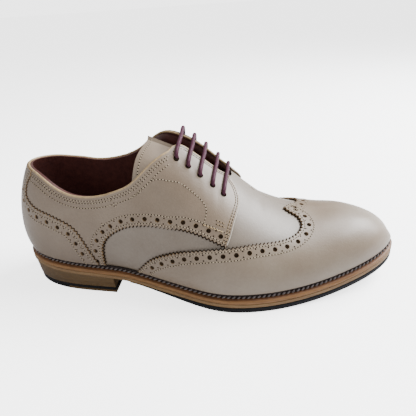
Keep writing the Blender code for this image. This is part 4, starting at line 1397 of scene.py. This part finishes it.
def dress_laces():
    """Each bar comes up through an eyelet, crosses over the gap and goes down through the other."""
    for number, (share, reach) in enumerate(zip(EYELETS, eyelet_reaches()), 1):
        half = []
        for side in (-1, 1):
            deep = [from_top_line(share, side * (reach - back), up) for back, up in LACE_DIP]
            over = np.linspace(reach - 2.9 * MM, THROAT_GAP / 2 - MM, 6)
            leaning = share + LACE_LEAN / LAST_LENGTH * (1 - over / reach)
            deep += [from_top_line(on, side * at, TOP + LACE / 2) for on, at in zip(leaning, over)]
            half.append(deep)
        crown = (half[0][-1] + half[1][-1]) / 2 + (0, 0, 0.1 * LACE)
        knots = np.array([*half[0], crown, *half[1][::-1]])
        path = smooth(knots, np.linspace(0, lengths(knots)[-1], LACE_STEPS))
        cord, node = tube(path, LACE / 2, LACE_SIDES), f"lace_bar_{number}"
        add_piece(f"lace_{number}", *cord, ("cord",), None, node, "lace_cord")


def perimeter(out, height):
    """Points once round the sole's edge, moved out, at a height that follows x."""
    x, outer, inner = edge_rows(out)
    ring = np.array([*zip(x, outer), *zip(x[-2:0:-1], inner[-2:0:-1])])
    return np.column_stack([ring, height(ring[:, 0])])


def dress_welt():
    edge, brim = WELT_OUT, WELT_OUT - 0.1 * MM
    section = (
        (-WALL, welt_bottom),
        (edge - 0.35 * MM, welt_bottom),
        (brim, above(welt_bottom, 0.3 * MM)),
        (edge, above(welt_bottom, WELT * 0.5)),
        (brim, above(welt_bottom, WELT - 0.4 * MM)),
        (edge - 0.6 * MM, welt_top),
        (-WALL, welt_top),
    )
    rings = [perimeter(out, height) for out, height in section]
    count = len(rings[0])
    marks = np.repeat((0, 1, 1, 1, 1, 0, 0), count)
    faces = ring_faces(len(rings), count)
    looks = ("welt_top", "welt_edge")
    add_piece("welt_leather", np.concatenate(rings), faces, looks, marks, "welt", "welt_leather", sharp=50)


# Section of the rand: share of its thickness outside the upper, share of its height above the bed
RAND_SECTION = (
    (0, 0),
    (1, 0),
    (1, 0.25),
    (0.95, 0.45),
    (0.55, 0.6),
    (0.5, 0.9),
    (0.35, 1),
    (0, 1),
    (0, 0.5),
)
RAND_SEAT = 3                   # the row of the section that the stitches lie on
RAND_STITCH, RAND_PITCH, RAND_TWIST = (3.0 * MM, 0.72 * MM), 3.7 * MM, 32


def dress_rand():
    half = share_at(np.linspace(0, 1, SOLE_STATIONS + 1))
    share = np.concatenate([half, half[-2:0:-1]])
    side = np.where(np.arange(len(share)) < len(half), -1, 1)
    x, y, nx, ny = edge_point(share, side, GAP)
    rings = []
    for thick, up in np.array(RAND_SECTION) * (RAND_THICK, RAND_HEIGHT):
        out = thick + swell(share, side, up)
        rings.append(np.column_stack([x + nx * out, y + ny * out, bed(x + nx * out) + up]))
    faces = ring_faces(len(rings), len(share))
    add_piece("rand_leather", np.concatenate(rings), faces, ("rand",), None, "rand", "rand_leather")
    ups = np.column_stack([nx, ny, np.full(len(nx), 0.9)])
    seat, ups = (np.concatenate([row, row[:1]]) for row in (rings[RAND_SEAT], ups))
    sew(seat, ups, "rand_stitch", RAND_PITCH, RAND_STITCH, math.radians(RAND_TWIST), prick=False)


def slab_piece(name, section, look, node, slot, start=None, end=None):
    """A layer of the sole in one look: section runs from its bottom to its top, as (how far out, height)."""
    rings = []
    for out, height in section:
        x, outer, inner = edge_rows(out, start, end)
        rings += [np.stack([x, outer, height(x)], 1), np.stack([x, inner, height(x)], 1)]
    count = len(rings[0])
    lines = np.arange(0, len(rings) * count, count).reshape(-1, 2)
    pairs = [(low, high) for side in (0, 1) for low, high in zip(lines[:-1, side], lines[1:, side])]
    faces = [(a + i, a + i + 1, b + i + 1, b + i) for a, b in pairs for i in range(count - 1)]
    flat = lines[0], lines[-1]
    faces += [(a + i, b + i, b + i + 1, a + i + 1) for a, b in flat for i in range(count - 1)]
    for i, cut in ((0, start), (count - 1, end)):
        if cut is not None:
            faces.append([*(lines[:, 0] + i), *(lines[::-1, 1] + i)])
    points = np.concatenate(rings)
    first, index = joined(points)
    add_piece(name, points[first], left_over(faces, index), (look,), None, node, slot)


def dress_soles():
    edge, brim, soft = WELT_OUT, WELT_OUT - 0.1 * MM, WELT_OUT - 0.5 * MM
    rubber = (
        (soft, underside),
        (brim, lambda x: underside(x) + 0.15 * tread(x)),
        (edge, lambda x: underside(x) + 0.5 * tread(x)),
        (edge, lambda x: underside(x) + 0.9 * tread(x)),
        (WELT_OUT - 0.2 * MM, lambda x: underside(x) + tread(x)),
    )
    waist = WAIST[1][0] * LAST_LENGTH
    slab_piece("rubber_sole", rubber, "rubber", "outsole_rubber", "sole_rubber", start=waist)
    leather = (
        (soft, midsole_bottom),
        (brim, above(midsole_bottom, 0.4 * MM)),
        (edge, above(midsole_bottom, MIDSOLE / 2)),
        (brim, above(midsole_bottom, MIDSOLE - 0.4 * MM)),
        (soft, midsole_top),
    )
    slab_piece("leather_midsole", leather, "midsole", "midsole", "sole_leather")
    inset = -WALL - 2 * GAP
    sock = ((inset, above(midsole_top, GAP)), (inset, above(bed, INSOLE)))
    slab_piece("sock", sock, "lining", "insole", "lining_leather")


def dress_heel():
    edge = WELT_OUT - 0.8 * MM
    breast = HEEL_LENGTH - WELT_OUT
    layer = TIP_LAYER + GAP
    low, foot = edge - HEEL_TAPER, edge - 0.7 * HEEL_TAPER
    split = TIP_SPLIT * LAST_LENGTH
    stack = (
        (foot - 0.25 * MM, at_height(2 * layer)),
        (foot, at_height(2 * layer + 0.3 * MM)),
        (edge, above(underside, -GAP)),
    )
    rubber = ((low, at_height(layer)), (low + 0.2 * MM, at_height(layer + TIP_LAYER)))
    tip = ((low - 0.3 * MM, at_height(0.0)), (low, at_height(0.4 * MM)), (low, at_height(TIP_LAYER)))
    slab_piece("heel_stack", stack, "stack", "heel_block", "stack_leather", end=breast)
    slab_piece("heel_rubber_layer", rubber, "rubber", "heel_rubber", "sole_rubber", end=breast)
    slab_piece("heel_tip_rubber", tip, "rubber", "heel_tip_rear", "sole_rubber", end=split)
    slab_piece("heel_tip_leather", tip, "stack", "heel_tip_front", "stack_leather", split + GAP, breast)


# The stage

def add_camera():
    turn, rise, roll = (math.radians(angle) for angle in (CAMERA_TURN, CAMERA_RISE, CAMERA_ROLL))
    back = Vector((math.sin(turn) * math.cos(rise), -math.cos(turn) * math.cos(rise), math.sin(rise)))
    right = Vector((math.cos(turn), math.sin(turn), 0))
    up = back.cross(right)
    axes = (right * math.cos(roll) + up * math.sin(roll), up * math.cos(roll) - right * math.sin(roll), back)
    data = bpy.data.cameras.new("camera")
    data.lens = CAMERA_LENS
    data.sensor_width = CAMERA_SENSOR
    data.clip_start = CAMERA_NEAR
    camera = bpy.data.objects.new("camera", data)
    place = Matrix.Translation(Vector(CAMERA_TARGET) + back * CAMERA_DISTANCE)
    camera.matrix_world = place @ Matrix(axes).transposed().to_4x4()
    bpy.context.scene.collection.objects.link(camera)
    bpy.context.scene.camera = camera


def add_light(name, place, target, size, power, colour):
    data = bpy.data.lights.new(name, "AREA")
    data.shape = "RECTANGLE"
    data.size, data.size_y = size
    data.energy = power
    data.color = colour
    light = bpy.data.objects.new(name, data)
    light.location = place
    light.rotation_mode = "QUATERNION"
    light.rotation_quaternion = (Vector(target) - Vector(place)).to_track_quat("-Z", "Y")
    bpy.context.scene.collection.objects.link(light)


def seen_only(tree, socket, lighting, seen):
    """One strength for the light that falls on the shoe, another for what the camera sees."""
    path = add_node(tree, "LightPath", {}).outputs["Is Camera Ray"]
    strength = add_node(tree, "MapRange", {"To Min": lighting, "To Max": seen, "Value": path})
    link(tree, strength.outputs["Result"], socket)


WORLD_LIGHT = 0.68              # what the white world adds to the light on the shoe
WORLD_GLOW = 3.4                # how bright the camera sees it
FLOOR_GLOW = 2.6                # how bright the camera sees the floor, besides the light on it
FLOOR_REACH = 40.0              # from the middle to the floor's sides, in metres
WHITE = (1.0, 1.0, 1.0, 1.0)

# Area lights: place, what they point at, size, watts, colour
LIGHTS = {
    "key": ((0.75, 0.3, 0.85), (0.03, 0, 0.05), (0.8, 0.6), 52, (0.96, 0.98, 1.0)),
    "fill": ((-0.4, -1.1, 0.7), (0, 0, 0.05), (1.2, 0.8), 6, (1.0, 0.97, 0.94)),
}


def add_stage():
    floor = bpy.data.meshes.new("floor")
    corners = [(x * FLOOR_REACH, y * FLOOR_REACH, 0) for x, y in ((-1, -1), (1, -1), (1, 1), (-1, 1))]
    floor.from_pydata(corners, [], [(0, 1, 2, 3)])
    look, shader = shader_of("floor", (0.86, 0.86, 0.86), 0.8)
    tree = look.node_tree
    tone = ramp(tree, noise(tree, 3, 2.0), [(0.3, (0.85, 0.85, 0.85)), (0.7, (0.88, 0.88, 0.88))])
    link(tree, tone, shader.inputs["Base Color"])
    look.cycles.emission_sampling = "NONE"
    shader.inputs["Emission Color"].default_value = WHITE
    seen_only(tree, shader.inputs["Emission Strength"], 0.0, FLOOR_GLOW)
    floor.materials.append(look)
    plane = bpy.data.objects.new("floor", floor)
    bpy.context.scene.collection.objects.link(plane)
    world = bpy.data.worlds.new("studio")
    world.use_nodes = True
    background = world.node_tree.nodes["Background"]
    background.inputs["Color"].default_value = WHITE
    seen_only(world.node_tree, background.inputs["Strength"], WORLD_LIGHT, WORLD_GLOW)
    bpy.context.scene.world = world
    for name, values in LIGHTS.items():
        add_light(name, *values)


ORIGIN = origin()
add_camera()
dress_laces()
dress_upper()
dress_wing_cap()
dress_counter()
dress_quarter("quarter_lateral", -1)
dress_quarter("quarter_medial", 1)
dress_binding()
dress_tongue()
dress_welt()
dress_rand()
dress_soles()
dress_heel()
join_threads()
add_stage()
